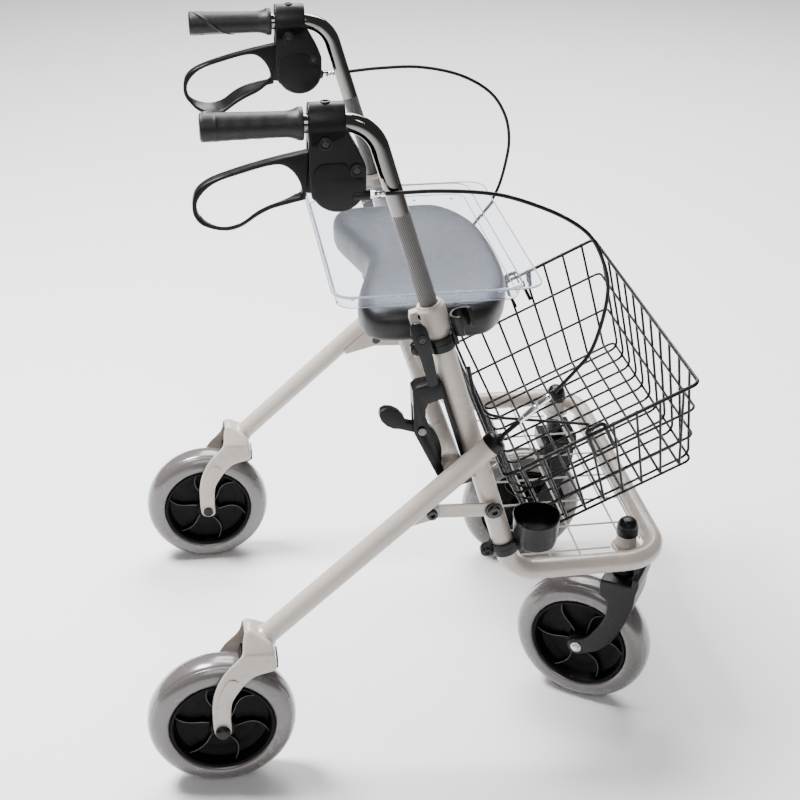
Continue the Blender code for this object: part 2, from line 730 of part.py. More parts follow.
def make_rear_fork(name, side, paints):
    """Two arms and a crown that clears the tyre, with a socket for the leg and a pocket for the shoe."""
    outer = RIM_HALF + FORK_ROOM + FORK_WALL
    inner = RIM_HALF + FORK_ROOM
    axle = (REAR_AXLE_X, WHEEL_R)
    low, high = spans(side, LEG_Y - outer, LEG_Y + outer)
    holes = [arc(place, radius + BORE_GAP, 0, 330, 11)
             for place, radius in ((axle, AXLE_R), (SHOE_PIVOT, 0.003))]
    fork = slab("rear_fork_" + name, rear_fork_outline(), low, high, paints["beige"], holes=holes)
    room = across("wheel_room", axle, *spans(side, LEG_Y - inner, LEG_Y + inner), WHEEL_R + 0.0055, 28)
    socket = rod("leg_socket", leg_point(side, -LEG_BELOW - GAP), leg_point(side, -LEG_BELOW + 0.08),
                 LEG_R + GAP, 24)
    pocket_low, pocket_high = spans(side, LEG_Y - SHOE_HALF - 0.001, LEG_Y + SHOE_HALF + 0.001)
    pocket = slab("pocket", [(-0.2330, 0.1800), (-0.2000, 0.1800), (-0.2000, 0.2070), (-0.2185, 0.2070),
                             (-0.2235, 0.2010), (-0.2330, 0.1960)], pocket_low, pocket_high)
    return cut(fork, room, socket, pocket)


def make_shoe(name, side, paints):
    """Shoe carrier: pivot pin, hub, arm and a curved pad in front of the tyre."""
    axle = (REAR_AXLE_X, WHEEL_R)
    face = WHEEL_R + SHOE_GAP
    hub = arc(SHOE_PIVOT, 0.0055, 205, -25, 8)
    outline = hub + arc(axle, face + 0.0065, 50, 36, 4) + arc(axle, face, 36, 55, 5)
    low, high = spans(side, LEG_Y - SHOE_HALF, LEG_Y + SHOE_HALF)
    shoe = slab("brake_shoe_" + name, outline, low, high, paints["black"])
    reach = RIM_HALF + FORK_ROOM + FORK_WALL - 0.0003
    return join(shoe, across("pin", SHOE_PIVOT, side * (LEG_Y - reach), side * (LEG_Y + reach), 0.003, 12))


def make_rear_axle(name, side, paints):
    """Bolt through both arms, with a head inside and a round cap outside."""
    arm = RIM_HALF + FORK_ROOM + FORK_WALL + GAP
    profile = [(0.0, -arm - 0.0030), (AXLE_HEAD_R, -arm - 0.0030), (AXLE_HEAD_R, -arm), (AXLE_R, -arm),
               (AXLE_R, arm), (AXLE_CAP_R, arm), (AXLE_CAP_R, arm + 0.005),
               (AXLE_CAP_R - 0.003, arm + 0.0077),
               (0.0, arm + 0.0077)]
    return turned("rear_axle_" + name, profile, 14, paints["black"], wheel_frame(side), hollow=False)


# Wheels, modelled about their own centre with the axle along Y
def wheel_frame(side=1):
    """Turn a profile about Z into one about Y, with its top to the outside and a flat straight below."""
    return Matrix.Rotation(-side * math.pi / 2, 4, "X") @ Matrix.Rotation(math.pi / WHEEL_STEPS, 4, "Z")


def make_rim(name, paints):
    half = [(AXLE_R + BORE_GAP, RIM_HALF), (HUB_R, RIM_HALF), (HUB_R + 0.003, 0.015), (0.053, 0.006),
            (0.060, TYRE_HALF - 0.001), (RIM_R, TYRE_HALF - 0.0015)]
    profile = half + [(radius, -place) for radius, place in reversed(half)]
    return turned(name, profile, WHEEL_STEPS, paints["rim"], wheel_frame())


def make_tyre(name, paints):
    """Tyre whose flats, not its corners, are as far out as the wheel's radius."""
    tread = WHEEL_R / math.cos(math.pi / WHEEL_STEPS)
    half = [(RIM_R + GAP + 0.0002, TYRE_HALF - 0.003), (RIM_R + 0.0095, TYRE_HALF), (tread - 0.008, 0.0235),
            (tread - 0.002, 0.017), (tread, 0.008)]
    profile = half + [(radius, -place) for radius, place in reversed(half)]
    return turned(name, profile, WHEEL_STEPS, paints["tyre"], wheel_frame())


# Casters, modelled with the stem on Z and the wheel trailing behind it
def caster_outline():
    rear = [(-0.0585, 0.0915), (-0.0620, 0.1000), (-0.0590, 0.1090), (-0.0365, 0.1218), (-0.0221, 0.1431),
            (-0.0125, 0.1653), (-0.0107, 0.1846), (-0.0155, 0.2017), (-0.0246, 0.2116)]
    top = [(-0.0160, 0.2200), (-0.0150, 0.2385), (0.0200, 0.2420), (0.0299, 0.2403)]
    front = [(0.0312, 0.2264), (0.0279, 0.2130), (0.0257, 0.1885), (0.0133, 0.1523), (0.0000, 0.1233),
             (-0.0189, 0.1016), (-0.0323, 0.0945), (-0.0410, 0.0890), (-0.0500, 0.0880)]
    return rear + top + front


def make_caster_fork(name, paints):
    """Fork, stem through the frame's socket, and the cap that holds it there."""
    inner = RIM_HALF + CASTER_ROOM
    outer = inner + CASTER_WALL
    axle = (-TRAIL, WHEEL_R)
    hole = arc(axle, AXLE_R + BORE_GAP, 0, 330, 11)
    fork = slab("caster_fork_" + name, caster_outline(), -outer, outer, paints["black"], holes=(hole,))
    cut(fork, across("wheel_room", axle, -inner, inner, WHEEL_R + 0.004, 28))
    under, over = SOCKET_LOW - GAP, SOCKET_HIGH + GAP
    stem = [(0.0, 0.225), (0.0120, 0.225), (0.0125, under), (STEM_R, under), (STEM_R, over), (0.0150, over),
            (0.0150, over + 0.010), (0.0120, over + 0.013), (0.0095, over + 0.022), (0.0, over + 0.0255)]
    return join(fork, turned("stem", stem, 16, hollow=False))


def make_caster_axle(name, paints):
    arm = RIM_HALF + CASTER_ROOM + CASTER_WALL + GAP
    profile = [(0.0, -arm - 0.0045), (AXLE_HEAD_R, -arm - 0.0045), (AXLE_HEAD_R, -arm), (AXLE_R, -arm),
               (AXLE_R, arm), (AXLE_HEAD_R, arm), (AXLE_HEAD_R, arm + 0.0045), (0.0, arm + 0.0045)]
    return turned("caster_axle_" + name, profile, 14, paints["chrome"], wheel_frame(), hollow=False)


# Handles
def handle_path(side, low_end):
    y = side * HALF_TRACK
    corner_x = upright_x(HANDLE_Z)
    return bent_path([(HANDLE_END_X, y, HANDLE_Z), (corner_x, y, HANDLE_Z),
                      (upright_x(low_end), y, low_end)],
                     (HANDLE_BEND,), math.radians(15.0))


def make_handle_tube(name, side, paints):
    low_end = UPRIGHT_TOP_Z - HANDLE_DEPTH * math.cos(LEAN)
    return bent_tube("handle_tube_" + name, handle_path(side, low_end), HANDLE_R, HANDLE_WALL,
                     paints["chrome"])


def make_grip(name, side, paints):
    """Grip with a closed end, spun about the handle's axis."""
    bore = HANDLE_R + GAP
    floor = HANDLE_END_X - 0.0005
    outside = [(0.0, GRIP_BACK_X), (0.0125, GRIP_BACK_X), (0.0158, -0.2615), (0.0162, -0.2500),
               (0.0156, -0.2350),
               (0.0150, -0.2000), (0.0145, -0.1720), (0.0152, -0.1620), (0.0185, -0.1560),
               (0.0185, GRIP_FRONT_X)]
    profile = outside + [(bore, GRIP_FRONT_X), (bore, floor), (0.0, floor)]
    turn = Matrix.Translation((0, side * HALF_TRACK, HANDLE_Z)) @ Matrix.Rotation(math.pi / 2, 4, "Y")
    return turned("grip_" + name, profile, 16, paints["grip"], turn, hollow=False)


def housing_outline():
    top = [(-0.1445, 0.8241), (-0.1463, 0.8791), (-0.1451, 0.9290), (-0.1430, 0.9310), (-0.1065, 0.9310),
           (-0.1045, 0.9290), (-0.1036, 0.9036), (-0.0848, 0.8677), (-0.0815, 0.8588)]
    return top + arc(BRAKE_PIVOT, 0.0321, -7, -148, 9)


def make_housing(name, side, paints):
    """Brake housing on the handle tube: slot for the lever, bore for the drum's pin, cable socket in front."""
    y = side * HALF_TRACK
    hole = arc(BRAKE_PIVOT, BRAKE_PIN_R + BORE_GAP, 0, 330, 11)
    housing = slab("brake_housing_" + name, housing_outline(), y - HOUSING_HALF, y + HOUSING_HALF,
                   paints["housing"], holes=(hole,))
    socket = [(0.0, -0.097), (0.0065, -0.097), (0.0065, -0.0778), (0.0050, -0.0776), (0.0050, -0.0645),
              (0.0036, -0.0640), (0.0030, CABLE_START_X - GAP), (0.0, CABLE_START_X - GAP)]
    beside_tube = y + side * CABLE_OUTBOARD
    turn = Matrix.Translation((0, beside_tube, CABLE_SOCKET_Z)) @ Matrix.Rotation(math.pi / 2, 4, "Y")
    join(housing, turned("socket", socket, 14, matrix=turn, hollow=False))
    path = handle_path(side, HANDLE_Z - 0.12)
    path[0].x -= 0.02
    tube = swept("tube_room", path, HANDLE_R + GAP, 16)
    slot = block("lever_slot", (-0.170, y - BRAKE_SLOT_HALF, 0.795), (-0.0865, y + BRAKE_SLOT_HALF, 0.887))
    return cut(housing, tube, slot)


def drum_places(side):
    """Y of the lever's root disc and of the drum beside it, both in the housing's slot."""
    y = side * HALF_TRACK
    root = y - side * BRAKE_SLOT_HALF + side * 0.0008
    drum = y + side * BRAKE_SLOT_HALF - side * 0.0008
    return (root, root + side * DISC_WALL), (drum - side * DISC_WALL, drum)


def make_drum(name, side, paints):
    drum = across("brake_drum_" + name, BRAKE_PIVOT, *drum_places(side)[1], DRUM_R, 20, paints["black"])
    reach = HOUSING_HALF - 0.0007
    y = side * HALF_TRACK
    return join(drum, across("pin", BRAKE_PIVOT, y - reach, y + reach, BRAKE_PIN_R, 12))


def make_brake_lever(name, side, paints):
    """Loop of flat band whose root disc turns on the drum's pin."""
    outer = [(-0.1444, 0.8764), (-0.1870, 0.8678), (-0.2218, 0.8589), (-0.2556, 0.8477), (-0.2720, 0.8360),
             (-0.2775, 0.8220), (-0.2768, 0.8074), (-0.2675, 0.7949), (-0.2454, 0.7877), (-0.2249, 0.7914),
             (-0.1890, 0.8113), (-0.1500, 0.8205)]
    inner = [(-0.1546, 0.8263), (-0.1900, 0.8165), (-0.2249, 0.7962), (-0.2454, 0.7925), (-0.2650, 0.7990),
             (-0.2722, 0.8090), (-0.2708, 0.8262), (-0.2530, 0.8437), (-0.2205, 0.8547), (-0.1850, 0.8630),
             (-0.1690, 0.8590), (-0.1575, 0.8442)]
    middle = side * (HALF_TRACK + 0.0005)
    lever = slab("brake_lever_" + name, outer, middle - LEVER_HALF_WIDTH, middle + LEVER_HALF_WIDTH,
                 paints["black"], holes=(inner,))
    root_low, root_high = sorted(drum_places(side)[0])
    web = [(-0.1500, 0.8255), (-0.1136, 0.8200), (-0.1136, 0.8580), (-0.1480, 0.8700)]
    join(lever, slab("web", web, root_low, root_high))
    join(lever, across("disc", BRAKE_PIVOT, root_low + 0.0001, root_high - 0.0001, LEVER_ROOT_R, 20))
    return cut(lever,
               across("bore", BRAKE_PIVOT, root_low - 0.01, root_high + 0.01, BRAKE_PIN_R + BORE_GAP, 12))


# Height collars and clamp levers
def make_collar(name, side, paints):
    """Sleeve on the upright's top, with the lug of the clamp lever behind it."""
    middle = (COLLAR_LOW + COLLAR_HIGH) / 2
    frame = lean_frame(middle, side * HALF_TRACK)
    half = (COLLAR_HIGH - COLLAR_LOW) / 2 / math.cos(LEAN)
    step = (UPRIGHT_TOP_Z - middle) / math.cos(LEAN) + GAP
    wide, narrow, outer = TUBE_R + GAP, HANDLE_R + GAP, TUBE_R + GAP + COLLAR_WALL
    sleeve = [(0.0, -half), (outer, -half), (outer, half - 0.003), (outer - 0.003, half), (0.0, half)]
    collar = turned("collar_" + name, sleeve, 16, paints["beige"], frame, hollow=False)
    lug_half = 0.0060
    lug = [(0.010, -half), (CLAMP_BEHIND - 0.0055, CLAMP_RISE - 0.0030)]
    lug += arc((CLAMP_BEHIND, CLAMP_RISE), 0.0068, 230, 360, 5)
    lug += [(CLAMP_BEHIND + 0.0068, 0.006), (CLAMP_BEHIND + 0.004, half - 0.002), (0.010, half - 0.002)]
    ear = slab("lug", beside(lug), -lug_half, lug_half, matrix=frame)
    arm_low, arm_high = spans(side, 0.0, CLAMP_HEAD_IN - 0.0006)
    boss = rod("boss", frame @ Vector((-CLAMP_BEHIND, arm_low, CLAMP_RISE)),
               frame @ Vector((-CLAMP_BEHIND, arm_high, CLAMP_RISE)), 0.0066, 18)
    bore = [(0.0, -half - 0.004), (wide, -half - 0.004), (wide, step), (narrow, step),
            (narrow, half + 0.004),
            (0.0, half + 0.004)]
    pin_room = rod("pin_room", frame @ Vector((-CLAMP_BEHIND, -0.03, CLAMP_RISE)),
                   frame @ Vector((-CLAMP_BEHIND, 0.03, CLAMP_RISE)), CLAMP_PIN_R + BORE_GAP, 14)
    join(collar, ear, boss)
    return cut(collar, turned("bore", bore, 16, matrix=frame, hollow=False), pin_room)


def clamp_frame(side):
    middle = (COLLAR_LOW + COLLAR_HIGH) / 2
    return lean_frame(middle, side * HALF_TRACK) @ Matrix.Translation((-CLAMP_BEHIND, 0, CLAMP_RISE))


def make_clamp_lever(name, side, paints):
    """Head outside the collar, arm down along the guide, and the pin it turns on."""
    frame = clamp_frame(side)
    head = [(-0.0095, -0.0200), (-0.0112, 0.0100), (-0.0090, 0.0205), (-0.0040, 0.0245), (0.0035, 0.0225),
            (0.0090, 0.0130), (0.0092, 0.0000), (0.0060, -0.0200)]
    arm = [(-0.0093, -0.0140), (0.0072, -0.0140), (0.0040, -0.0500), (-0.0095, -0.0500)]
    tip = [(-0.0095, -0.0490), (0.0040, -0.0490), (0.0030, -CLAMP_ARM + 0.003), (0.0000, -CLAMP_ARM),
           (-0.0075, -CLAMP_ARM), (-0.0100, -CLAMP_ARM + 0.003)]
    inside = GUIDE_OUT + GAP - HALF_TRACK
    tip_out = LINK_IN + LINK_WALL - HALF_TRACK
    lever = slab("clamp_lever_" + name, head, *spans(side, CLAMP_HEAD_IN, CLAMP_HEAD_OUT), paints["black"],
                 frame)
    join(lever, slab("arm", arm, *spans(side, inside, CLAMP_HEAD_OUT - 0.0005), matrix=frame))
    join(lever, slab("tip", tip, *spans(side, inside + 0.0001, tip_out), matrix=frame))
    inner_end = frame @ Vector((0, -side * 0.0055, 0))
    pin = rod("pin", inner_end, frame @ Vector((0, side * (CLAMP_HEAD_IN + 0.001), 0)), CLAMP_PIN_R, 14)
    return join(lever, pin)


# Cane holder
def make_band(name, height, paints):
    """Clamp band round the right upright with its ear and bolt behind."""
    frame = lean_frame(height, -HALF_TRACK)
    half = BAND_HEIGHT / 2
    inner, outer = TUBE_R + GAP, TUBE_R + GAP + BAND_WALL
    band = turned(name, [(inner, -half), (outer, -half), (outer, half), (inner, half)], 16, paints["black"],
                  frame)
    ear = block("ear", (-0.0285, -0.0050, -half + 0.001), (-(inner + outer) / 2, 0.0050, half - 0.001),
                matrix=frame)
    bolt = rod("bolt", frame @ Vector((-0.0235, -0.0085, 0)), frame @ Vector((-0.0235, 0.0085, 0)), 0.0035,
               12)
    return join(band, ear, bolt)


def make_cane_clip(paints):
    """Spring clip in front of the upright, open to the front and outside."""
    clip = make_band("cane_clip", CLIP_Z - 0.0035, paints)
    frame = lean_frame(CLIP_Z, -HALF_TRACK)
    inner, outer = CLIP_R, CLIP_R + CLIP_WALL
    away = TUBE_R + COLLAR_WALL + outer + 0.0007
    centre = (math.sqrt(away ** 2 - 0.008 ** 2), -0.008)
    outline = arc(centre, outer, 10, 260, 16) + arc(centre, inner, 260, 10, 16)
    jaw = slab("jaw", outline, 0.0080, 0.0460, matrix=frame, flat="XY")
    root = TUBE_R + GAP + BAND_WALL / 2
    arm = block("arm", (root, -0.0110, -0.0060), (centre[0] - inner - 0.001, 0.0030, 0.0145), matrix=frame)
    return join(clip, arm, jaw)


def make_cane_cup(paints):
    """Open cup for the cane's tip, on an arm from its clamp band."""
    cup = make_band("cane_cup", CUP_BAND_Z, paints)
    rim = smooth_loop([(TUBE_R + x, y - HALF_TRACK) for x, y in (
        (0.103, 0.0180), (0.103, -0.0090), (0.104, -0.0350), (0.126, -0.0385), (0.148, -0.0270),
        (0.1615, -0.0040), (0.154, 0.0145), (0.131, 0.0195))], 2)
    middle = sum(rim, Vector((0, 0))) / len(rim)

    def ring(share, height):
        return [(*(middle + (point - middle) * share), height) for point in rim]

    shell = loft("shell", [ring(0.84, CUP_BOTTOM_Z), ring(0.92, CUP_BOTTOM_Z + 0.003), ring(1.0, CUP_RIM_Z),
                           ring(0.88, CUP_RIM_Z), ring(0.80, CUP_BOTTOM_Z + 0.004)])
    side = [(TUBE_R + x, z) for x, z in ((0.1088, 0.3110), (0.1160, 0.3120), (0.1280, 0.3315), (0.1105, 0.3320))]
    arm = slab("arm", side, -HALF_TRACK - 0.0065, -HALF_TRACK + 0.0065)
    return join(cup, arm, shell)


# Seat, tray and basket
def make_seat(paints):
    """Moulded seat with a crowned top and drawn-in sides, saddled on the crossbar."""
    front = [(0.131, 0.0), (0.121, 0.585), (0.085, 0.957), (0.030, 1.0), (-0.055, 0.989), (-0.078, 0.745),
             (-0.060, 0.319), (-0.048, 0.0)]
    half = [(x, y * SEAT_HALF) for x, y in front]
    loop = smooth_loop(half + [(x, -y) for x, y in reversed(half[1:-1])], 2)
    middle = Vector((0.030, 0.0))
    layers = ((SEAT_BOTTOM_Z, 0.93), (SEAT_BOTTOM_Z + 0.004, 0.975), (SEAT_WIDEST_Z - 0.010, 0.995),
              (SEAT_WIDEST_Z, 1.0), (SEAT_WIDEST_Z + 0.011, 0.985), (SEAT_TOP_Z - 0.007, 0.935),
              (SEAT_TOP_Z - 0.0025, 0.83), (SEAT_TOP_Z - 0.0005, 0.60), (SEAT_TOP_Z, 0.30))
    seat = loft("seat", [[(*(middle + (point - middle) * share), height) for point in loop]
                         for height, share in layers], paints["cushion"])
    bar_x = upright_x(CROSSBAR_Z)
    for side in (-1, 1):
        low, high = spans(side, 0.11, 0.13)
        join(seat, block("saddle", (bar_x - 0.018, low, CROSSBAR_Z - 0.006),
                         (bar_x + 0.018, high, SEAT_BOTTOM_Z + 0.004)))
    return cut(seat, across("bar_room", (bar_x, CROSSBAR_Z), -0.2, 0.2, CROSSBAR_R + GAP, 24))


def make_tray(paints):
    """Clear tray: a shallow pan with a flange that runs out to a lip in front."""
    def ring(grow, front, height):
        outline = rounded_box(TRAY_BACK_X - grow, TRAY_FRONT_X + grow + front, TRAY_HALF + grow,
                              0.022 + grow)
        return [(x, y, height) for x, y in outline]

    wall = TRAY_WALL
    rings = [ring(-0.0045, 0, TRAY_FLOOR_Z), ring(-0.0015, 0, TRAY_FLOOR_Z + 0.002),
             ring(0, 0, TRAY_RIM_Z - wall),
             ring(0.0030, 0.023, TRAY_RIM_Z - wall), ring(0.0030, 0.023, TRAY_RIM_Z),
             ring(-wall, 0, TRAY_RIM_Z),
             ring(-wall - 0.0015, 0, TRAY_FLOOR_Z + wall)]
    return loft("tray", rings, paints["clear"])


def basket_frame():
    """Frame at the rear of the rim, with X along the rim's slope to the front."""
    return Matrix.Translation((BASKET_BACK[0], 0, BASKET_BACK[1])) @ Matrix.Rotation(-BASKET_TILT, 4, "Y")


def basket_ring(depth, inset):
    """Outline at a depth under the rim: the front and the sides draw in, the rear stays upright."""
    share = depth / BASKET_DEPTH
    front = BASKET_LENGTH - 0.042 * share
    half = BASKET_RIM_HALF + (BASKET_FLOOR_HALF - BASKET_RIM_HALF) * share
    outline = rounded_box(0.0016 * share + inset, front - inset, half - inset, 0.020 - inset / 2)
    return [(x, y, -depth) for x, y in outline]


def make_basket(paints):
    """Basket as a closed thin wall with an open top, and two eyes for the handle's ends."""
    depths = (BASKET_DEPTH, BASKET_DEPTH * 0.68, BASKET_DEPTH * 0.33, 0.0)
    outside = [basket_ring(depth, 0.0) for depth in depths]
    inside = [basket_ring(depth, BASKET_WALL) for depth in reversed(depths[1:])]
    floor = basket_ring(BASKET_DEPTH - BASKET_WALL, BASKET_WALL)
    basket = loft("basket", outside + inside + [floor], paints["wire"], basket_frame())
    x, z = BAIL_PIVOT
    for side in (-1, 1):
        low, high = spans(side, BASKET_RIM_HALF - 0.0090, BASKET_RIM_HALF - 0.0010)
        join(basket, block("eye", (x - 0.005, low, z - 0.014), (x + 0.005, high, z + 0.005)))
        cut(basket, across("eye_bore", BAIL_PIVOT, low - 0.002, high + 0.002, BAIL_R + BORE_GAP, 10))
    return basket


def make_bail(paints):
    """Basket handle: a wire bow whose ends turn outward into the basket's eyes."""
    x, z = BAIL_PIVOT
    half = [(x, BASKET_RIM_HALF - 0.0015, z), (x, BASKET_RIM_HALF - 0.0145, z),
            (0.1023, HALF_TRACK - 0.022, 0.5000),
            (BAIL_BAR[0], HALF_TRACK - 0.028, BAIL_BAR[1])]
    corners = half + [(a, -b, c) for a, b, c in reversed(half)]
    path = bent_path(corners, (0.004, 0.020, 0.012, 0.012, 0.020, 0.004), math.radians(30.0))
    return swept("basket_handle", path, BAIL_R, 6, paints["wire"])


def make_cable(name, paints):
    """Brake cable from the housing's socket to the barrel on the leg, whole along its route."""
    curve = bpy.data.curves.new("brake_cable_" + name, "CURVE")
    curve.dimensions = "3D"
    curve.bevel_depth = CABLE_R
    curve.bevel_resolution = 1
    curve.use_fill_caps = True
    path = smooth_line(CABLE_ROUTES[name], CABLE_STEP)
    line = curve.splines.new("POLY")
    line.points.add(len(path) - 1)
    for point, place in zip(line.points, path):
        point.co = (*place, 1.0)
    return add_object("brake_cable_" + name, curve, paints["black"])


# Bodies
def build_handle(name, side, paints):
    upright_top = lean_frame(UPRIGHT_TOP_Z, side * HALF_TRACK).translation
    slide = pivot("handle_slide_" + name, upright_top)
    hang(slide, make_handle_tube(name, side, paints), make_grip(name, side, paints),
         make_housing(name, side, paints))
    turn = pivot("brake_turn_" + name, (BRAKE_PIVOT[0], side * HALF_TRACK, BRAKE_PIVOT[1]), parent=slide)
    hang(turn, make_drum(name, side, paints), make_brake_lever(name, side, paints))
    swing = pivot("clamp_turn_" + name, clamp_frame(side).translation)
    hang(swing, make_clamp_lever(name, side, paints))


def build_rear_side(name, side, rear, paints):
    hang(rear, make_leg(name, side, paints), make_leg_plug(name, side, paints),
         make_lower_bolt(name, side, paints),
         make_rear_fork(name, side, paints))
    centre = Vector((REAR_AXLE_X, side * LEG_Y, WHEEL_R))
    local = rear.matrix_world.inverted() @ centre
    ride(rear, make_rear_axle(name, side, paints), local)
    wheel = pivot("rear_wheel_turn_" + name, centre, parent=rear)
    ride(wheel, make_rim("rear_rim_" + name, paints), (0, 0, 0))
    ride(wheel, make_tyre("rear_tyre_" + name, paints), (0, 0, 0))
    swing = pivot("shoe_turn_" + name, (SHOE_PIVOT[0], side * LEG_Y, SHOE_PIVOT[1]), parent=rear)
    hang(swing, make_shoe(name, side, paints))


def build_rear_frame(paints):
    slide = pivot("cross_tube_slide", (CROSS_CENTRE[0], 0, CROSS_CENTRE[1]))
    hang(slide, make_cross_tube(paints))
    rear = pivot("rear_frame_turn", (CROSS_CENTRE[0], 0, CROSS_CENTRE[1]), parent=slide)
    for name, side in SIDES:
        build_rear_side(name, side, rear, paints)
        swing = pivot("link_turn_" + name, (LINK_TOP[0], side * LINK_IN, LINK_TOP[1]))
        hang(swing, make_link(name, side, paints))
    latch = pivot("latch_turn", (LATCH_PIN[0], -HALF_TRACK - LATCH_Y, LATCH_PIN[1]))
    hang(latch, make_latch(paints))


def build_caster(name, side, paints):
    swivel = pivot("caster_swivel_" + name, (CASTER_X, side * (HALF_TRACK - CASTER_INSET), 0),
                   CASTER_HEADING[name])
    ride(swivel, make_caster_fork(name, paints), (0, 0, 0))
    centre = (-TRAIL, 0, WHEEL_R)
    ride(swivel, make_caster_axle(name, paints), centre)
    ride(swivel, make_rim("caster_rim_" + name, paints), centre)
    ride(swivel, make_tyre("caster_tyre_" + name, paints), centre)


def build_accessories(paints):
    make_seat(paints)
    make_cane_clip(paints)
    make_cane_cup(paints)
    lift = pivot("tray_lift", (0, 0, TRAY_FLOOR_Z))
    hang(lift, make_tray(paints))
    unhook = pivot("basket_slide", (BASKET_BACK[0], 0, BASKET_BACK[1]))
    hang(unhook, make_basket(paints))
    swing = pivot("bail_turn", (BAIL_PIVOT[0], 0, BAIL_PIVOT[1]), parent=unhook)
    hang(swing, make_bail(paints))


def build_front_frame(paints):
    make_front_tube(paints)
    make_crossbar(paints)
    make_shelf(paints)
    make_latch_pin(paints)
    for name, side in SIDES:
        make_socket(name, side, paints)
        make_guide(name, side, paints)
        make_collar(name, side, paints)
        make_upper_bolt(name, side, paints)
        make_cable(name, paints)


def main():
    clear_scene()
    paints = make_paints()
    build_front_frame(paints)
    build_rear_frame(paints)
    build_accessories(paints)
    for name, side in SIDES:
        build_handle(name, side, paints)
        build_caster(name, side, paints)


main()
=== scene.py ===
import json
import math

import bmesh
import bpy
from bpy.props import FloatProperty, FloatVectorProperty, IntProperty, PointerProperty
from mathutils import Matrix, Vector


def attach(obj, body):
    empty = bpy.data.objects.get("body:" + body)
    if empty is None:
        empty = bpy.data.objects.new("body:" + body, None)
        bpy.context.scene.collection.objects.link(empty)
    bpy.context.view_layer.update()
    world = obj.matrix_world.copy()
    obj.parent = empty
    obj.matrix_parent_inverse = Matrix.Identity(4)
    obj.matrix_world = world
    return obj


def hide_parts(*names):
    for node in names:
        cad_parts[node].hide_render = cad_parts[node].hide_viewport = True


bl_info = {
    "name": "Four-wheel rollator",
    "version": (1, 0, 0),
    "blender": (4, 5, 0),
    "location": "View3D > Sidebar > Rollator",
    "description": "Models the finished pieces of a folding four-wheel rollator round its CAD frame",
    "category": "Add Mesh",
}

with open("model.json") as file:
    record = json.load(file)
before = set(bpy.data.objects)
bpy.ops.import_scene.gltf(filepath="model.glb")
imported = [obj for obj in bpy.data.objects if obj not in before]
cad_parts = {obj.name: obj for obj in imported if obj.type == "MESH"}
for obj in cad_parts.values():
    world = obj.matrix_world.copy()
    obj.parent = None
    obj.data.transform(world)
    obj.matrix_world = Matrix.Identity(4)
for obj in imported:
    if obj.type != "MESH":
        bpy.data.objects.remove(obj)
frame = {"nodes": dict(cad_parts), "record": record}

# Metres, +X to the front, +Y to the left, +Z up, as in the CAD frame.
# A pair is a place in X and Z, but the caster's stem is in X and Y.
SIDES = (("right", -1), ("left", 1))
LEAN = math.radians(16.8)
UPRIGHT_FOOT_X = 0.2004
UPRIGHT_TOP_Z = 0.668
HALF_TRACK = 0.237
RAIL_Z = 0.275
FRONT_X = 0.33
CROSSBAR_Z = 0.59
CROSSBAR_R = 0.011
SHELF_Z = 0.2675
LEG_SLOPE = math.radians(42.3)
LEG_Y = 0.2705
LEG_TOP = 0.0568
CROSS_PLACE = (0.02898, 0.45498)
CROSS_R = 0.013
LATCH_PLACE = (-0.01221, 0.51044)
LINK_TOP = (0.08343, 0.38743)
LINK_LOW = (0.00099, 0.392)
SHOE_PIVOT = (-0.215, 0.2)
CLAMP_PIVOT = (-0.01581, 0.64173)
WHEEL_R = 0.1
REAR_AXLE = (-0.283, 0.1)
CASTER_STEM = (0.289, 0.197)
CASTER_TRAIL = 0.05
CASTER_AXLE = (-CASTER_TRAIL, WHEEL_R)
CASTER_HEADING = {"right": math.radians(-34.0), "left": 0.0}
HANDLE_Z = 0.907
COLLAR_Z = 0.6625
CLIP_Z = 0.6265
CUP_BAND_Z = 0.3205
DRUM_HALF = 0.0165
BRAKE_PIVOT = (-0.1136, 0.8391)
CABLE_SOCKET_Z = 0.826
BASKET_BACK = (0.095, 0.432)
BASKET_TILT = math.radians(25.5)
BASKET_LENGTH = 0.2813
BASKET_DEPTH = 0.156
BASKET_RIM_HALF = 0.249
BASKET_FLOOR_HALF = 0.186
CAMERA_PLACE = (-0.2826, -1.7502, 1.3821)
# Yaw, pitch and roll in degrees
CAMERA_TURNS = (9.168, 28.52, 0.543)
CAMERA_LENS = 63.16
BAIL_PIVOT = (0.2095, 0.4935)
CABLE_ROUTES = {
    "right": ((-0.0598, -0.252, 0.826), (0.0031, -0.2525, 0.8262), (0.0663, -0.253, 0.8198),
              (0.1155, -0.254, 0.8042), (0.1569, -0.256, 0.7844), (0.1843, -0.259, 0.7627),
              (0.2006, -0.2615, 0.7324), (0.2088, -0.264, 0.6992), (0.2049, -0.2665, 0.6595),
              (0.1928, -0.268, 0.6165), (0.174, -0.2695, 0.5911), (0.1493, -0.2705, 0.5638)),
    "left": ((-0.0598, 0.252, 0.826), (-0.0361, 0.252, 0.8285), (0.0065, 0.2525, 0.8316),
             (0.0656, 0.253, 0.831), (0.1256, 0.254, 0.8168), (0.1723, 0.256, 0.789),
             (0.1975, 0.259, 0.7521), (0.2061, 0.2615, 0.712), (0.2022, 0.264, 0.6717),
             (0.192, 0.2665, 0.6309), (0.172, 0.269, 0.593), (0.1493, 0.2705, 0.5638)),
}


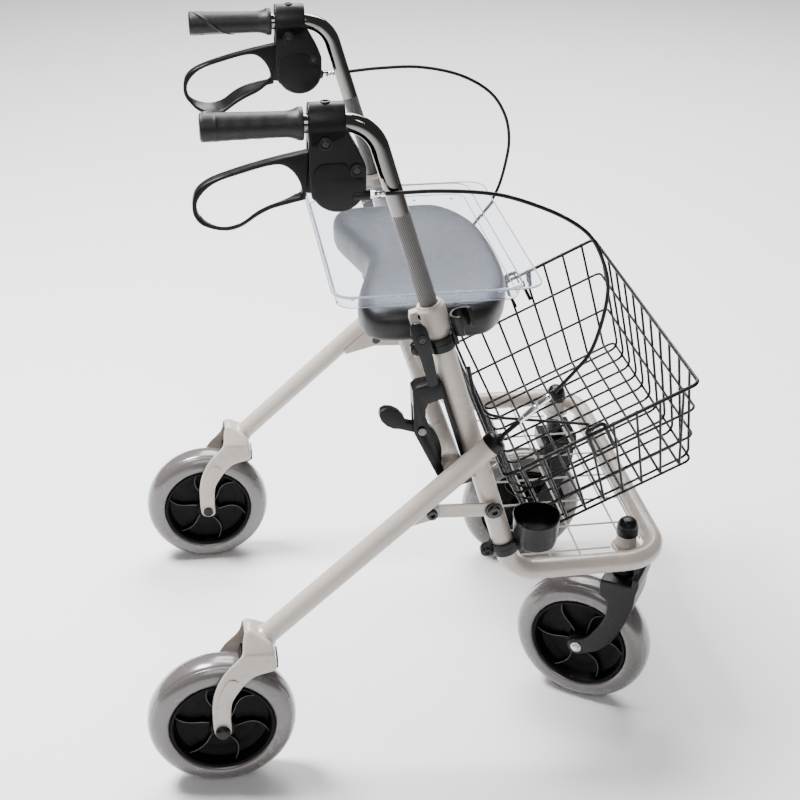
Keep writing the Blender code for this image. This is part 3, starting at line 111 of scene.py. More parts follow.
class RollatorSizes(bpy.types.PropertyGroup):
    tube: FloatProperty(name="Frame tube", description="Outer radius of the frame tube",
                        default=0.014, unit="LENGTH")
    handle_tube: FloatProperty(name="Handle tube", description="Outer radius of the chrome tubes",
                               default=0.011, unit="LENGTH")
    basket_wire: FloatProperty(name="Basket wire", description="Radius of the basket's thin wires",
                               default=0.0019, unit="LENGTH")
    basket_rim: FloatProperty(name="Basket rim", description="Radius of the basket's rim wire",
                              default=0.0026, unit="LENGTH")
    shelf_wire: FloatProperty(name="Shelf wire", description="Radius of the shelf's wires",
                              default=0.0014, unit="LENGTH")
    cable: FloatProperty(name="Brake cable", description="Radius of the brake cable's sleeve",
                         default=0.0024, unit="LENGTH")
    spokes: IntProperty(name="Wheel ribs", description="Ribs on each side of a wheel", default=6)


class RollatorColours(bpy.types.PropertyGroup):
    paint: FloatVectorProperty(name="Powder coat", description="Colour of the painted tubes",
                               default=(0.455, 0.4, 0.357), subtype="COLOR")
    tyre: FloatVectorProperty(name="Tyre", description="Colour of the tyres",
                              default=(0.1, 0.089, 0.088), subtype="COLOR")
    plastic: FloatVectorProperty(name="Black plastic", description="Colour of the moulded black pieces",
                                 default=(0.0035, 0.0035, 0.004), subtype="COLOR")
    housing: FloatVectorProperty(name="Charcoal plastic", description="Colour of the housings and levers",
                                 default=(0.0035, 0.0035, 0.004), subtype="COLOR")
    seat: FloatVectorProperty(name="Seat", description="Colour of the seat's skin",
                              default=(0.01, 0.01, 0.011), subtype="COLOR")
    tray: FloatVectorProperty(name="Tray", description="Tint of the clear tray",
                              default=(0.86, 0.9, 0.97), subtype="COLOR")


# Materials
def node(tree, kind, **inputs):
    """New shader node with its inputs' values, with _ for a space in an input's name."""
    made = tree.nodes.new("ShaderNode" + kind)
    for name, value in inputs.items():
        made.inputs[name.replace("_", " ")].default_value = value
    return made


def tones(tree, factor, colours, stops=(0.0, 1.0)):
    """Colour of a ramp between two colours at a factor."""
    ramp = node(tree, "ValToRGB")
    for element, stop, colour in zip(ramp.color_ramp.elements, stops, colours):
        element.position = stop
        element.color = (*colour, 1)
    tree.links.new(factor, ramp.inputs["Fac"])
    return ramp.outputs["Color"]


def surface(name, color, rough, patch=18.0, spread=0.12, grain=(), metallic=0.0, coat=0.0, shine=0.5):
    """Finish with soft patches of two near tones, an uneven gloss and layers of relief."""
    material = bpy.data.materials.new(name)
    material.use_nodes = True
    tree = material.node_tree
    link = tree.links.new
    shader = tree.nodes["Principled BSDF"]
    for key, value in (("Metallic", metallic), ("Coat Weight", coat), ("Coat Roughness", 0.12),
                       ("Specular IOR Level", shine)):
        shader.inputs[key].default_value = value
    place = node(tree, "TexCoord").outputs["Object"]
    clouds = node(tree, "TexNoise", Scale=patch, Detail=5.0)
    link(place, clouds.inputs["Vector"])
    near = [[min(1.0, part * (1 + way * spread)) for part in color] for way in (-1, 1)]
    link(tones(tree, clouds.outputs["Fac"], near, (0.3, 0.7)), shader.inputs["Base Color"])
    smears = node(tree, "TexNoise", Scale=patch * 3.1, Detail=3.0)
    link(place, smears.inputs["Vector"])
    gloss = node(tree, "MapRange", From_Min=0.3, From_Max=0.7, To_Min=rough[0], To_Max=rough[1])
    link(smears.outputs["Fac"], gloss.inputs["Value"])
    link(gloss.outputs["Result"], shader.inputs["Roughness"])
    normal = None
    for kind, scale, depth in grain:
        if kind == "cells":
            relief = node(tree, "TexVoronoi", Scale=scale)
            height = relief.outputs["Distance"]
        else:
            relief = node(tree, "TexNoise", Scale=scale, Detail=3.0)
            height = relief.outputs["Fac"]
        link(place, relief.inputs["Vector"])
        bump = node(tree, "Bump", Distance=depth, Strength=1.0)
        link(height, bump.inputs["Height"])
        if normal:
            link(normal, bump.inputs["Normal"])
        normal = bump.outputs["Normal"]
    if normal:
        link(normal, shader.inputs["Normal"])
    return material


def knurled(name):
    """Steel with crossed fine grooves, which follow the sleeve's own map, and painted shade darkening the
    grooves.
    """
    material = surface(name, (0.5, 0.49, 0.48), (0.3, 0.42), metallic=1.0)
    tree = material.node_tree
    link = tree.links.new
    shader = tree.nodes["Principled BSDF"]
    chart = node(tree, "UVMap")
    chart.uv_map = "sleeve"
    meet = node(tree, "Math")
    meet.operation = "MULTIPLY"
    for k, way in enumerate((1, -1)):
        turn = node(tree, "Mapping", Rotation=(0, 0, way * math.radians(38.0)))
        link(chart.outputs["UV"], turn.inputs["Vector"])
        waves = node(tree, "TexWave", Scale=0.135)
        link(turn.outputs["Vector"], waves.inputs["Vector"])
        link(waves.outputs["Fac"], meet.inputs[k])
    bump = node(tree, "Bump", Distance=0.0006)
    link(meet.outputs["Value"], bump.inputs["Height"])
    link(bump.outputs["Normal"], shader.inputs["Normal"])
    # Base colour follows the grooves' depth: painted shade in the grooves and a painted highlight on the
    # ridges.
    painted_groove_shade = ((0.06, 0.058, 0.056), (0.3, 0.29, 0.28))
    link(tones(tree, meet.outputs["Value"], painted_groove_shade), shader.inputs["Base Color"])
    return material


def clear(name, tint, pass_share, bend):
    """Clear moulded plastic with a faint tint and fine scuffs."""
    material = surface(name, tint, (0.02, 0.06), patch=9.0, spread=0.02)
    shader = material.node_tree.nodes["Principled BSDF"]
    shader.inputs["Transmission Weight"].default_value = pass_share
    shader.inputs["IOR"].default_value = bend
    return material


FINISHES = {}

# Record slot of each finish, with the plain finish of a slot before its others
SLOTS = {
    "paint": "frame", "wire_paint": "frame", "beige": "beige_plastic", "grey": "grey_plastic",
    "black": "black_plastic", "charcoal": "black_plastic", "bolt": "black_plastic",
    "chrome": "chrome", "steel": "chrome", "barrel": "chrome", "knurl": "chrome",
    "rim": "rim", "rib_highlight": "rim", "tyre": "tyre", "grip": "grip", "seat": "seat_pad",
    "wire": "wire", "cable": "cable", "clear": "clear_plastic", "clear_edge": "clear_plastic",
}


def make_finishes(colours):
    black, charcoal = tuple(colours.plastic), tuple(colours.housing)
    FINISHES.update({
        "paint": surface("powder_coat", tuple(colours.paint), (0.24, 0.34), 14, 0.02,
                         (("noise", 900, 0.00005),), coat=0.3),
        "wire_paint": surface("shelf_coat", tuple(colours.paint), (0.34, 0.45), 30, 0.03,
                              (("noise", 1200, 0.00004),)),
        "beige": surface("beige_moulding", tuple(c * 0.94 for c in colours.paint), (0.34, 0.48), 25, 0.03,
                         (("noise", 1600, 0.00004),)),
        "black": surface("black_moulding", black, (0.26, 0.38), 40, 0.25, (("noise", 1500, 0.00005),),
                         shine=0.24),
        "charcoal": surface("charcoal_moulding", charcoal, (0.3, 0.44), 30, 0.12,
                            (("noise", 2200, 0.00005),),
                            shine=0.24),
        "grip": surface("grip_rubber", (0.007, 0.007, 0.0075), (0.38, 0.5), 60, 0.2,
                        (("cells", 900, 0.00012), ("noise", 900, 0.00006)), shine=0.3),
        # Lighter strips on the rim ribs' tops: a painted highlight of the rib edges catching light.
        "rib_highlight": surface("painted_rib_highlight", (0.045, 0.044, 0.045), (0.3, 0.42), 50, 0.15,
                         (("noise", 1500, 0.00004),)),
        "rim": surface("gloss_moulding", (0.0015, 0.0015, 0.002), (0.42, 0.54), 50, 0.2,
                       (("noise", 700, 0.00003),), shine=0.09),
        "bolt": surface("black_bolt", (0.006, 0.006, 0.006), (0.14, 0.24), 90, 0.2,
                        (("noise", 900, 0.00003),)),
        "tyre": surface("tyre_rubber", tuple(colours.tyre), (0.25, 0.28), 24, 0.02,
                        (("noise", 420, 0.00004),), coat=0.75),
        "chrome": surface("chrome_plate", (0.2, 0.193, 0.186), (0.05, 0.11), 20, 0.03, metallic=1.0),
        "steel": surface("zinc_steel", (0.52, 0.51, 0.5), (0.2, 0.32), 60, 0.06, (("noise", 900, 0.00006),),
                         metallic=1.0),
        "barrel": surface("bright_barrel", (0.85, 0.85, 0.85), (0.1, 0.2), 80, 0.04, metallic=1.0),
        "wire": surface("dipped_wire", (0.002, 0.002, 0.0025), (0.24, 0.36), 60, 0.25,
                        (("noise", 1100, 0.00005),), shine=0.2),
        "cable": surface("cable_sleeve", (0.003, 0.003, 0.0035), (0.26, 0.38), 60, 0.2,
                         (("noise", 900, 0.00005),), shine=0.24),
        "seat": surface("seat_skin", tuple(colours.seat), (0.32, 0.46), 22, 0.18,
                        (("cells", 1300, 0.00005), ("noise", 200, 0.00005)), shine=0.36),
        "grey": surface("grey_moulding", (0.2, 0.2, 0.205), (0.45, 0.6), 60, 0.1,
                        (("noise", 1500, 0.00005),)),
        "knurl": knurled("knurled_steel"),
        "clear": clear("clear_moulding", tuple(colours.tray), 0.965, 1.03),
        "clear_edge": clear("clear_moulding_edge", tuple(c * 0.55 for c in colours.tray), 0.5, 1.2),
    })


# Working with pieces
def only(item):
    bpy.ops.object.select_all(action="DESELECT")
    item.select_set(True)
    bpy.context.view_layer.objects.active = item


def add_object(name, data):
    item = bpy.data.objects.new(name, data)
    bpy.context.scene.collection.objects.link(item)
    return item


def apply_all(item):
    only(item)
    for step in list(item.modifiers):
        bpy.ops.object.modifier_apply(modifier=step.name)


def tidy_mesh(item):
    """Merge doubles and point the faces outwards."""
    only(item)
    bpy.ops.object.mode_set(mode="EDIT")
    bpy.ops.mesh.select_all(action="SELECT")
    bpy.ops.mesh.remove_doubles(threshold=0.000005)
    bpy.ops.mesh.normals_make_consistent(inside=False)
    bpy.ops.object.mode_set(mode="OBJECT")


def round_edges(item, width, segments=2):
    step = item.modifiers.new("edge", "BEVEL")
    step.width = width
    step.segments = segments
    step.limit_method = "ANGLE"
    step.angle_limit = math.radians(35.0)
    apply_all(item)


def carve(item, tool):
    """Cut the tool's shape out of a piece, and remove the tool."""
    step = item.modifiers.new("carve", "BOOLEAN")
    step.operation = "DIFFERENCE"
    step.solver = "EXACT"
    step.object = tool
    apply_all(item)
    bpy.data.objects.remove(tool, do_unlink=True)


def merge_into(first, *others):
    only(first)
    for item in others:
        item.select_set(True)
    bpy.ops.object.join()
    return first


def twin(item, name, matrix):
    """Copy with its own mesh, moved in its mesh."""
    other = add_object(name, item.data.copy())
    other.data.transform(matrix)
    return other


def dress(item, finish, body, *nodes, slot=None, smooth=38.0):
    """Give a finished piece its material, soft shading and body, and hide the CAD nodes it replaces."""
    slot = slot or SLOTS[finish]
    item.data.materials.clear()
    item.data.materials.append(FINISHES[finish])
    only(item)
    bpy.ops.object.shade_smooth_by_angle(angle=math.radians(smooth))
    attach(item, body)
    if nodes:
        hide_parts(*nodes)
    return item


# Outlines and paths
def arc(centre, radius, start, end, steps):
    points = []
    for i in range(steps + 1):
        angle = math.radians(start + (end - start) * i / steps)
        points.append((centre[0] + radius * math.cos(angle), centre[1] + radius * math.sin(angle)))
    return points


def eased(points, radius, steps=4, closed=True):
    """Outline with each corner rounded off."""
    places = [Vector(point) for point in points]
    count = len(places)
    curve = []
    for i, here in enumerate(places):
        if not closed and i in (0, count - 1):
            curve.append(tuple(here))
            continue
        before, after = places[i - 1], places[(i + 1) % count]
        reach_in = min(radius, (before - here).length * 0.45)
        reach_out = min(radius, (after - here).length * 0.45)
        start = here + (before - here).normalized() * reach_in
        end = here + (after - here).normalized() * reach_out
        for k in range(steps + 1):
            t = k / steps
            curve.append(tuple(start * (1 - t) ** 2 + here * 2 * t * (1 - t) + end * t * t))
    return curve


def through(points, steps, closed=True):
    """Smooth curve through the points."""
    places = [Vector(point) for point in points]
    count = len(places)
    curve = []
    for i in range(count if closed else count - 1):
        if closed:
            before, here, there, after = (places[(i + k) % count] for k in (-1, 0, 1, 2))
        else:
            before = places[i - 1] if i else 2 * places[0] - places[1]
            here, there = places[i], places[i + 1]
            after = places[i + 2] if i + 2 < count else 2 * places[-1] - places[-2]
        for k in range(steps):
            t = k / steps
            curve.append(0.5 * (2 * here + (there - before) * t
                                + (2 * before - 5 * here + 4 * there - after) * t * t
                                + (3 * here - before - 3 * there + after) * t * t * t))
    if not closed:
        curve.append(places[-1])
    return curve


def bent(corners, radii, turn=math.radians(5.0)):
    """Centre line of a tube through its corners, each bent to its own radius."""
    corners = [Vector(corner) for corner in corners]
    path = [corners[0]]
    for before, corner, after, radius in zip(corners, corners[1:], corners[2:], radii):
        into = (corner - before).normalized()
        out = (after - corner).normalized()
        angle = into.angle(out)
        centre = corner + (out - into).normalized() * radius / math.cos(angle / 2)
        start = corner - into * radius * math.tan(angle / 2) - centre
        steps = max(3, round(angle / turn))
        for i in range(steps + 1):
            path.append(centre + Matrix.Rotation(angle * i / steps, 3, into.cross(out)) @ start)
    path.append(corners[-1])
    return path


def rounded(back, front, half, radius, steps):
    """Rectangle with round corners, from back to front and as wide to both sides."""
    corners = ((front - radius, half - radius), (back + radius, half - radius),
               (back + radius, radius - half), (front - radius, radius - half))
    return [point for k,
            corner in enumerate(corners) for point in arc(corner, radius, 90 * k, 90 * k + 90, steps)]


def both_sides(half):
    """Profile that goes on as its own mirror image."""
    return half + [(radius, -height) for radius, height in reversed(half)]


def layered(loop, middle, layers):
    """Level copies of a loop, each at a height and drawn in to a share of its size."""
    rings = []
    for height, share in layers:
        rings.append([(*(middle + (point - middle) * share), height) for point in loop])
    return rings


# Places and frames
def posed(place, angle, axis="Y"):
    """Frame at a place, turned about one axis."""
    return Matrix.Translation(place) @ Matrix.Rotation(angle, 4, axis)


def upright_x(height):
    return UPRIGHT_FOOT_X - math.tan(LEAN) * height


def lean_frame(height, y=0.0):
    """Frame on the upright's axis: Z along the upright, X to the front across it."""
    return posed((upright_x(height), y, height), -LEAN)


def leg_place(side, along):
    return Vector((CROSS_PLACE[0] + along * math.cos(LEG_SLOPE), side * LEG_Y,
                   CROSS_PLACE[1] + along * math.sin(LEG_SLOPE)))


def leg_frame(side, along):
    return posed(leg_place(side, along), math.pi / 2 - LEG_SLOPE)


def swivel_frame(name, side):
    """Frame on the floor below a caster's stem, turned to its heading."""
    return posed((CASTER_STEM[0], side * CASTER_STEM[1], 0), CASTER_HEADING[name], "Z")


def along_y(place, y, side=1):
    """Frame whose Z points to the outside along Y."""
    return posed((place[0], y, place[1]), -side * math.pi / 2, "X")


# Ways to make a shape
def drawn(name, routes, radius, sides=10, closed=False):
    """Round bars along their routes, as bevelled curves made into one mesh."""
    curve = bpy.data.curves.new(name, "CURVE")
    curve.dimensions = "3D"
    curve.bevel_depth = radius
    curve.bevel_resolution = (sides - 4) // 2
    curve.use_fill_caps = True
    for route in routes:
        line = curve.splines.new("POLY")
        line.points.add(len(route) - 1)
        line.use_cyclic_u = closed
        for point, place in zip(line.points, route):
            point.co = (*place, 1.0)
    item = add_object(name, curve)
    only(item)
    bpy.ops.object.convert(target="MESH")
    tidy_mesh(item)
    return item


def plate(name, loops, low, high, edge, place=Matrix.Identity(4), flat="XZ", steps=2):
    """Plate with round edges from flat outlines, of which inner ones are holes."""
    curve = bpy.data.curves.new(name, "CURVE")
    curve.dimensions = "2D"
    curve.fill_mode = "BOTH"
    curve.extrude = abs(high - low) / 2 - edge
    curve.bevel_depth = edge
    curve.bevel_resolution = steps
    curve.offset = -edge
    for loop in loops:
        line = curve.splines.new("POLY")
        line.points.add(len(loop) - 1)
        line.use_cyclic_u = True
        for point, (a, b) in zip(line.points, loop):
            point.co = (a, b, 0.0, 1.0)
    item = add_object(name, curve)
    only(item)
    bpy.ops.object.convert(target="MESH")
    middle = (low + high) / 2
    if flat == "XZ":
        lay = posed((0, middle, 0), math.pi / 2, "X")
    else:
        lay = Matrix.Translation((0, 0, middle))
    item.data.transform(place @ lay)
    tidy_mesh(item)
    return item


def spun(name, profile, steps, place=Matrix.Identity(4), loop=False):
    """Profile of radius and height, spun about Z. A solid one starts and ends on the axis."""
    mesh = bpy.data.meshes.new(name)
    edges = [(i, i + 1) for i in range(len(profile) - 1)]
    if loop:
        edges.append((len(profile) - 1, 0))
    mesh.from_pydata([(radius, 0, height) for radius, height in profile], edges, [])
    item = add_object(name, mesh)
    only(item)
    bpy.ops.object.mode_set(mode="EDIT")
    bpy.ops.mesh.select_all(action="SELECT")
    bpy.ops.mesh.spin(steps=steps, angle=2 * math.pi, center=(0, 0, 0), axis=(0, 0, 1))
    bpy.ops.object.mode_set(mode="OBJECT")
    tidy_mesh(item)
    item.data.transform(place)
    return item


def turned(name, profile, ease, steps, place=Matrix.Identity(4), cuts=3, loop=False):
    """Spun piece whose profile has its corners eased."""
    return spun(name, eased(profile, ease, cuts, closed=loop), steps, place, loop)


def disc(name, radius, low, high, ease, steps, place=Matrix.Identity(4), cuts=3):
    """Solid disc or pin along Z."""
    return turned(name, [(0.0, low), (radius, low), (radius, high), (0.0, high)], ease, steps, place, cuts)


def ring(name, inner, outer, low, high, ease, steps, place, cuts=3):
    """Flat ring round Z."""
    corners = [(inner, low), (outer, low), (outer, high), (inner, high)]
    return turned(name, corners, ease, steps, place, cuts, loop=True)


def rod(radius, depth, sides, place):
    """Plain cylinder along Z, to carve with or to work on."""
    bpy.ops.mesh.primitive_cylinder_add(vertices=sides, radius=radius, depth=depth)
    item = bpy.context.object
    item.data.transform(place)
    return item


def box(name, low, high, place=Matrix.Identity(4)):
    bpy.ops.mesh.primitive_cube_add(size=1.0)
    item = bpy.context.object
    item.name = name
    size = [abs(b - a) for a, b in zip(low, high)]
    middle = [(a + b) / 2 for a, b in zip(low, high)]
    item.data.transform(place @ Matrix.Translation(middle) @ Matrix.Diagonal((*size, 1)))
    return item


def lofted(name, rings):
    """Skin through rings that have as many points each, capped at both ends."""
    count = len(rings[0])
    faces = []
    for k in range(len(rings) - 1):
        for i in range(count):
            j = (i + 1) % count
            faces.append((k * count + i, k * count + j, (k + 1) * count + j, (k + 1) * count + i))
    faces.append(tuple(reversed(range(count))))
    faces.append(tuple(range((len(rings) - 1) * count, len(rings) * count)))
    mesh = bpy.data.meshes.new(name)
    mesh.from_pydata([point for row in rings for point in row], [], faces)
    item = add_object(name, mesh)
    tidy_mesh(item)
    return item


def from_node(node_name, name, width, segments=2):
    """Copy of a CAD node's solid with its edges rounded."""
    item = add_object(name, frame["nodes"][node_name].data.copy())
    only(item)
    bpy.ops.object.mode_set(mode="EDIT")
    bpy.ops.mesh.select_all(action="SELECT")
    bpy.ops.mesh.remove_doubles(threshold=0.00001)
    bpy.ops.mesh.dissolve_limited(angle_limit=math.radians(0.5))
    bpy.ops.object.mode_set(mode="OBJECT")
    round_edges(item, width, segments)
    return item


def hex_bolt(name, radius, depth, place):
    """Round bolt head with an eased edge and a six-sided recess."""
    head = disc(name, radius, 0.0, depth, radius * 0.22, 28)
    carve(head, rod(radius * 0.48, depth, 6, Matrix.Translation((0, 0, depth))))
    head.data.transform(place)
    return head


def crossbar(name, half, radius, sides):
    """Bar on the axis of the seat's crossbar."""
    x = upright_x(CROSSBAR_Z)
    return drawn(name, [[(x, -half, CROSSBAR_Z), (x, half, CROSSBAR_Z)]], radius, sides)


class RollatorStep:
    bl_options = {"REGISTER", "UNDO"}

    @property
    def sizes(self):
        return bpy.context.scene.rollator_sizes


class ROLLATOR_OT_finishes(RollatorStep, bpy.types.Operator):
    """Make the materials and give them to the CAD pieces that stay"""
    bl_idname = "rollator.finishes"
    bl_label = "Finishes"

    def execute(self, context):
        make_finishes(context.scene.rollator_colours)
        of_slot = {slot: finish for finish, slot in reversed(SLOTS.items())}
        of_slot["housing"] = "charcoal"
        for entry in frame["record"]["subparts"]:
            item = frame["nodes"][entry["node"]]
            item.data.materials.clear()
            item.data.materials.append(FINISHES[of_slot[entry["material_slot"]]])
        return {"FINISHED"}


class ROLLATOR_OT_front_frame(RollatorStep, bpy.types.Operator):
    """Bent front tube, seat crossbar, wire shelf, sockets and collars"""
    bl_idname = "rollator.front_frame"
    bl_label = "Front frame"

    def execute(self, context):
        corners = [(upright_x(UPRIGHT_TOP_Z), -HALF_TRACK, UPRIGHT_TOP_Z),
                   (upright_x(RAIL_Z), -HALF_TRACK, RAIL_Z), (FRONT_X, -HALF_TRACK, RAIL_Z)]
        corners += [(x, -y, z) for x, y, z in reversed(corners)]
        front = drawn("front_tube", [bent(corners, (0.042, 0.055, 0.055, 0.042))], self.sizes.tube, 32)
        for side in (-1, 1):
            carve(front, rod(0.0121, 0.33, 48, lean_frame(0.53, side * HALF_TRACK)))
        dress(front, "paint", "front_frame", "front_frame_tube")
        dress(crossbar("crossbar", 0.2227, CROSSBAR_R, 28), "paint", "front_frame", "seat_crossbar")
        self.shelf(self.sizes.shelf_wire)
        for name, side in SIDES:
            self.socket(name, side)
            collar = from_node("collar_" + name, "height_collar_" + name, 0.0012, 3)
            dress(collar, "beige", "front_frame", "collar_" + name, smooth=42)
            spot = lean_frame(0.6698, side * (HALF_TRACK + 0.006)) @ along_y((-0.0135, 0), 0, side)
            dress(hex_bolt("collar_bolt_" + name, 0.0044, 0.004, spot), "black", "front_frame")
        return {"FINISHED"}

    def shelf(self, wire):
        upper, lower = SHELF_Z + wire * 0.8, SHELF_Z - wire * 0.8
        lines = []
        for x, half in ((0.138, 0.2244), (0.18, 0.2244), (0.222, 0.2244), (0.289, 0.1767), (0.3155, 0.1767)):
            lines.append([(x, -half, upper), (x, half, upper)])
        for y in (-0.13, -0.065, 0.0, 0.065, 0.13):
            lines.append([(0.1365, y, lower), (0.3165, y, lower)])
        for y in (-0.19, 0.19):
            lines.append([(0.1365, y, lower), (0.2687, y, lower)])
        dress(drawn("wire_shelf", lines, wire, 10), "wire_paint", "front_frame", "shelf_grid")

    def socket(self, name, side):
        profile = [(0.0092, 0.262), (0.014, 0.262), (0.014, 0.27), (0.0202, 0.2702), (0.0202, 0.2728),
                   (0.0142, 0.2735), (0.0138, 0.292), (0.0092, 0.292)]
        place = Matrix.Translation((CASTER_STEM[0], side * CASTER_STEM[1], 0))
        socket = turned("stem_socket_" + name, profile, 0.0008, 40, place, loop=True)
        dress(socket, "beige", "front_frame", "caster_socket_" + name)


class ROLLATOR_OT_fold_parts(RollatorStep, bpy.types.Operator):
    """Slotted guides, latch, sliding cross tube, links and their bolts"""
    bl_idname = "rollator.fold_parts"
    bl_label = "Fold parts"

    def execute(self, context):
        x, z = CROSS_PLACE
        cross = drawn("cross_tube", [[(x, -0.2562, z), (x, 0.2562, z)]], CROSS_R, 28)
        dress(cross, "paint", "cross_slide", "rear_cross_tube")
        latch = from_node("latch_lever", "fold_latch", 0.0013, 3)
        dress(latch, "charcoal", "latch", "latch_lever", smooth=42)
        pin = from_node("latch_pin", "fold_latch_pin", 0.0006, 2)
        for vert in pin.data.vertices:
            across = Vector((vert.co.x - LATCH_PLACE[0], vert.co.z - LATCH_PLACE[1]))
            if across.length > 0.0045:
                across *= 0.78
                vert.co.x, vert.co.z = LATCH_PLACE[0] + across.x, LATCH_PLACE[1] + across.y
        dress(pin, "grey", "front_frame", "latch_pin")
        for name, side in SIDES:
            guide = from_node("fold_guide_" + name, "slot_guide_" + name, 0.001, 2)
            dress(guide, "black", "front_frame", "fold_guide_" + name, smooth=42)
            link = from_node("link_" + name, "link_bar_" + name, 0.0005, 2)
            dress(link, "paint", "link_arm_" + name, "link_" + name)
            self.bolts(name, side)
        return {"FINISHED"}

    def bolts(self, name, side):
        head = hex_bolt("upper_bolt_" + name, 0.0085, 0.0072, along_y(LINK_TOP, side * 0.2557, side))
        rim = [(0.0, 0.0), (0.0118, 0.0), (0.0118, 0.003), (0.009, 0.0036), (0.0, 0.0036)]
        washer = turned("upper_washer_" + name, rim, 0.0006, 32, along_y(LINK_TOP, side * 0.2556, side))
        dress(merge_into(washer, head), "bolt", "front_frame", "link_bolt_upper_" + name)
        low = hex_bolt("lower_bolt_" + name, 0.0073, 0.0066, along_y(LINK_LOW, side * 0.2594, side))
        dress(low, "bolt", "rear_frame", "link_bolt_lower_" + name)
        nut = hex_bolt("lower_nut_" + name, 0.0066, 0.0007, along_y(LINK_LOW, side * 0.2524, -side))
        dress(nut, "bolt", "rear_frame")


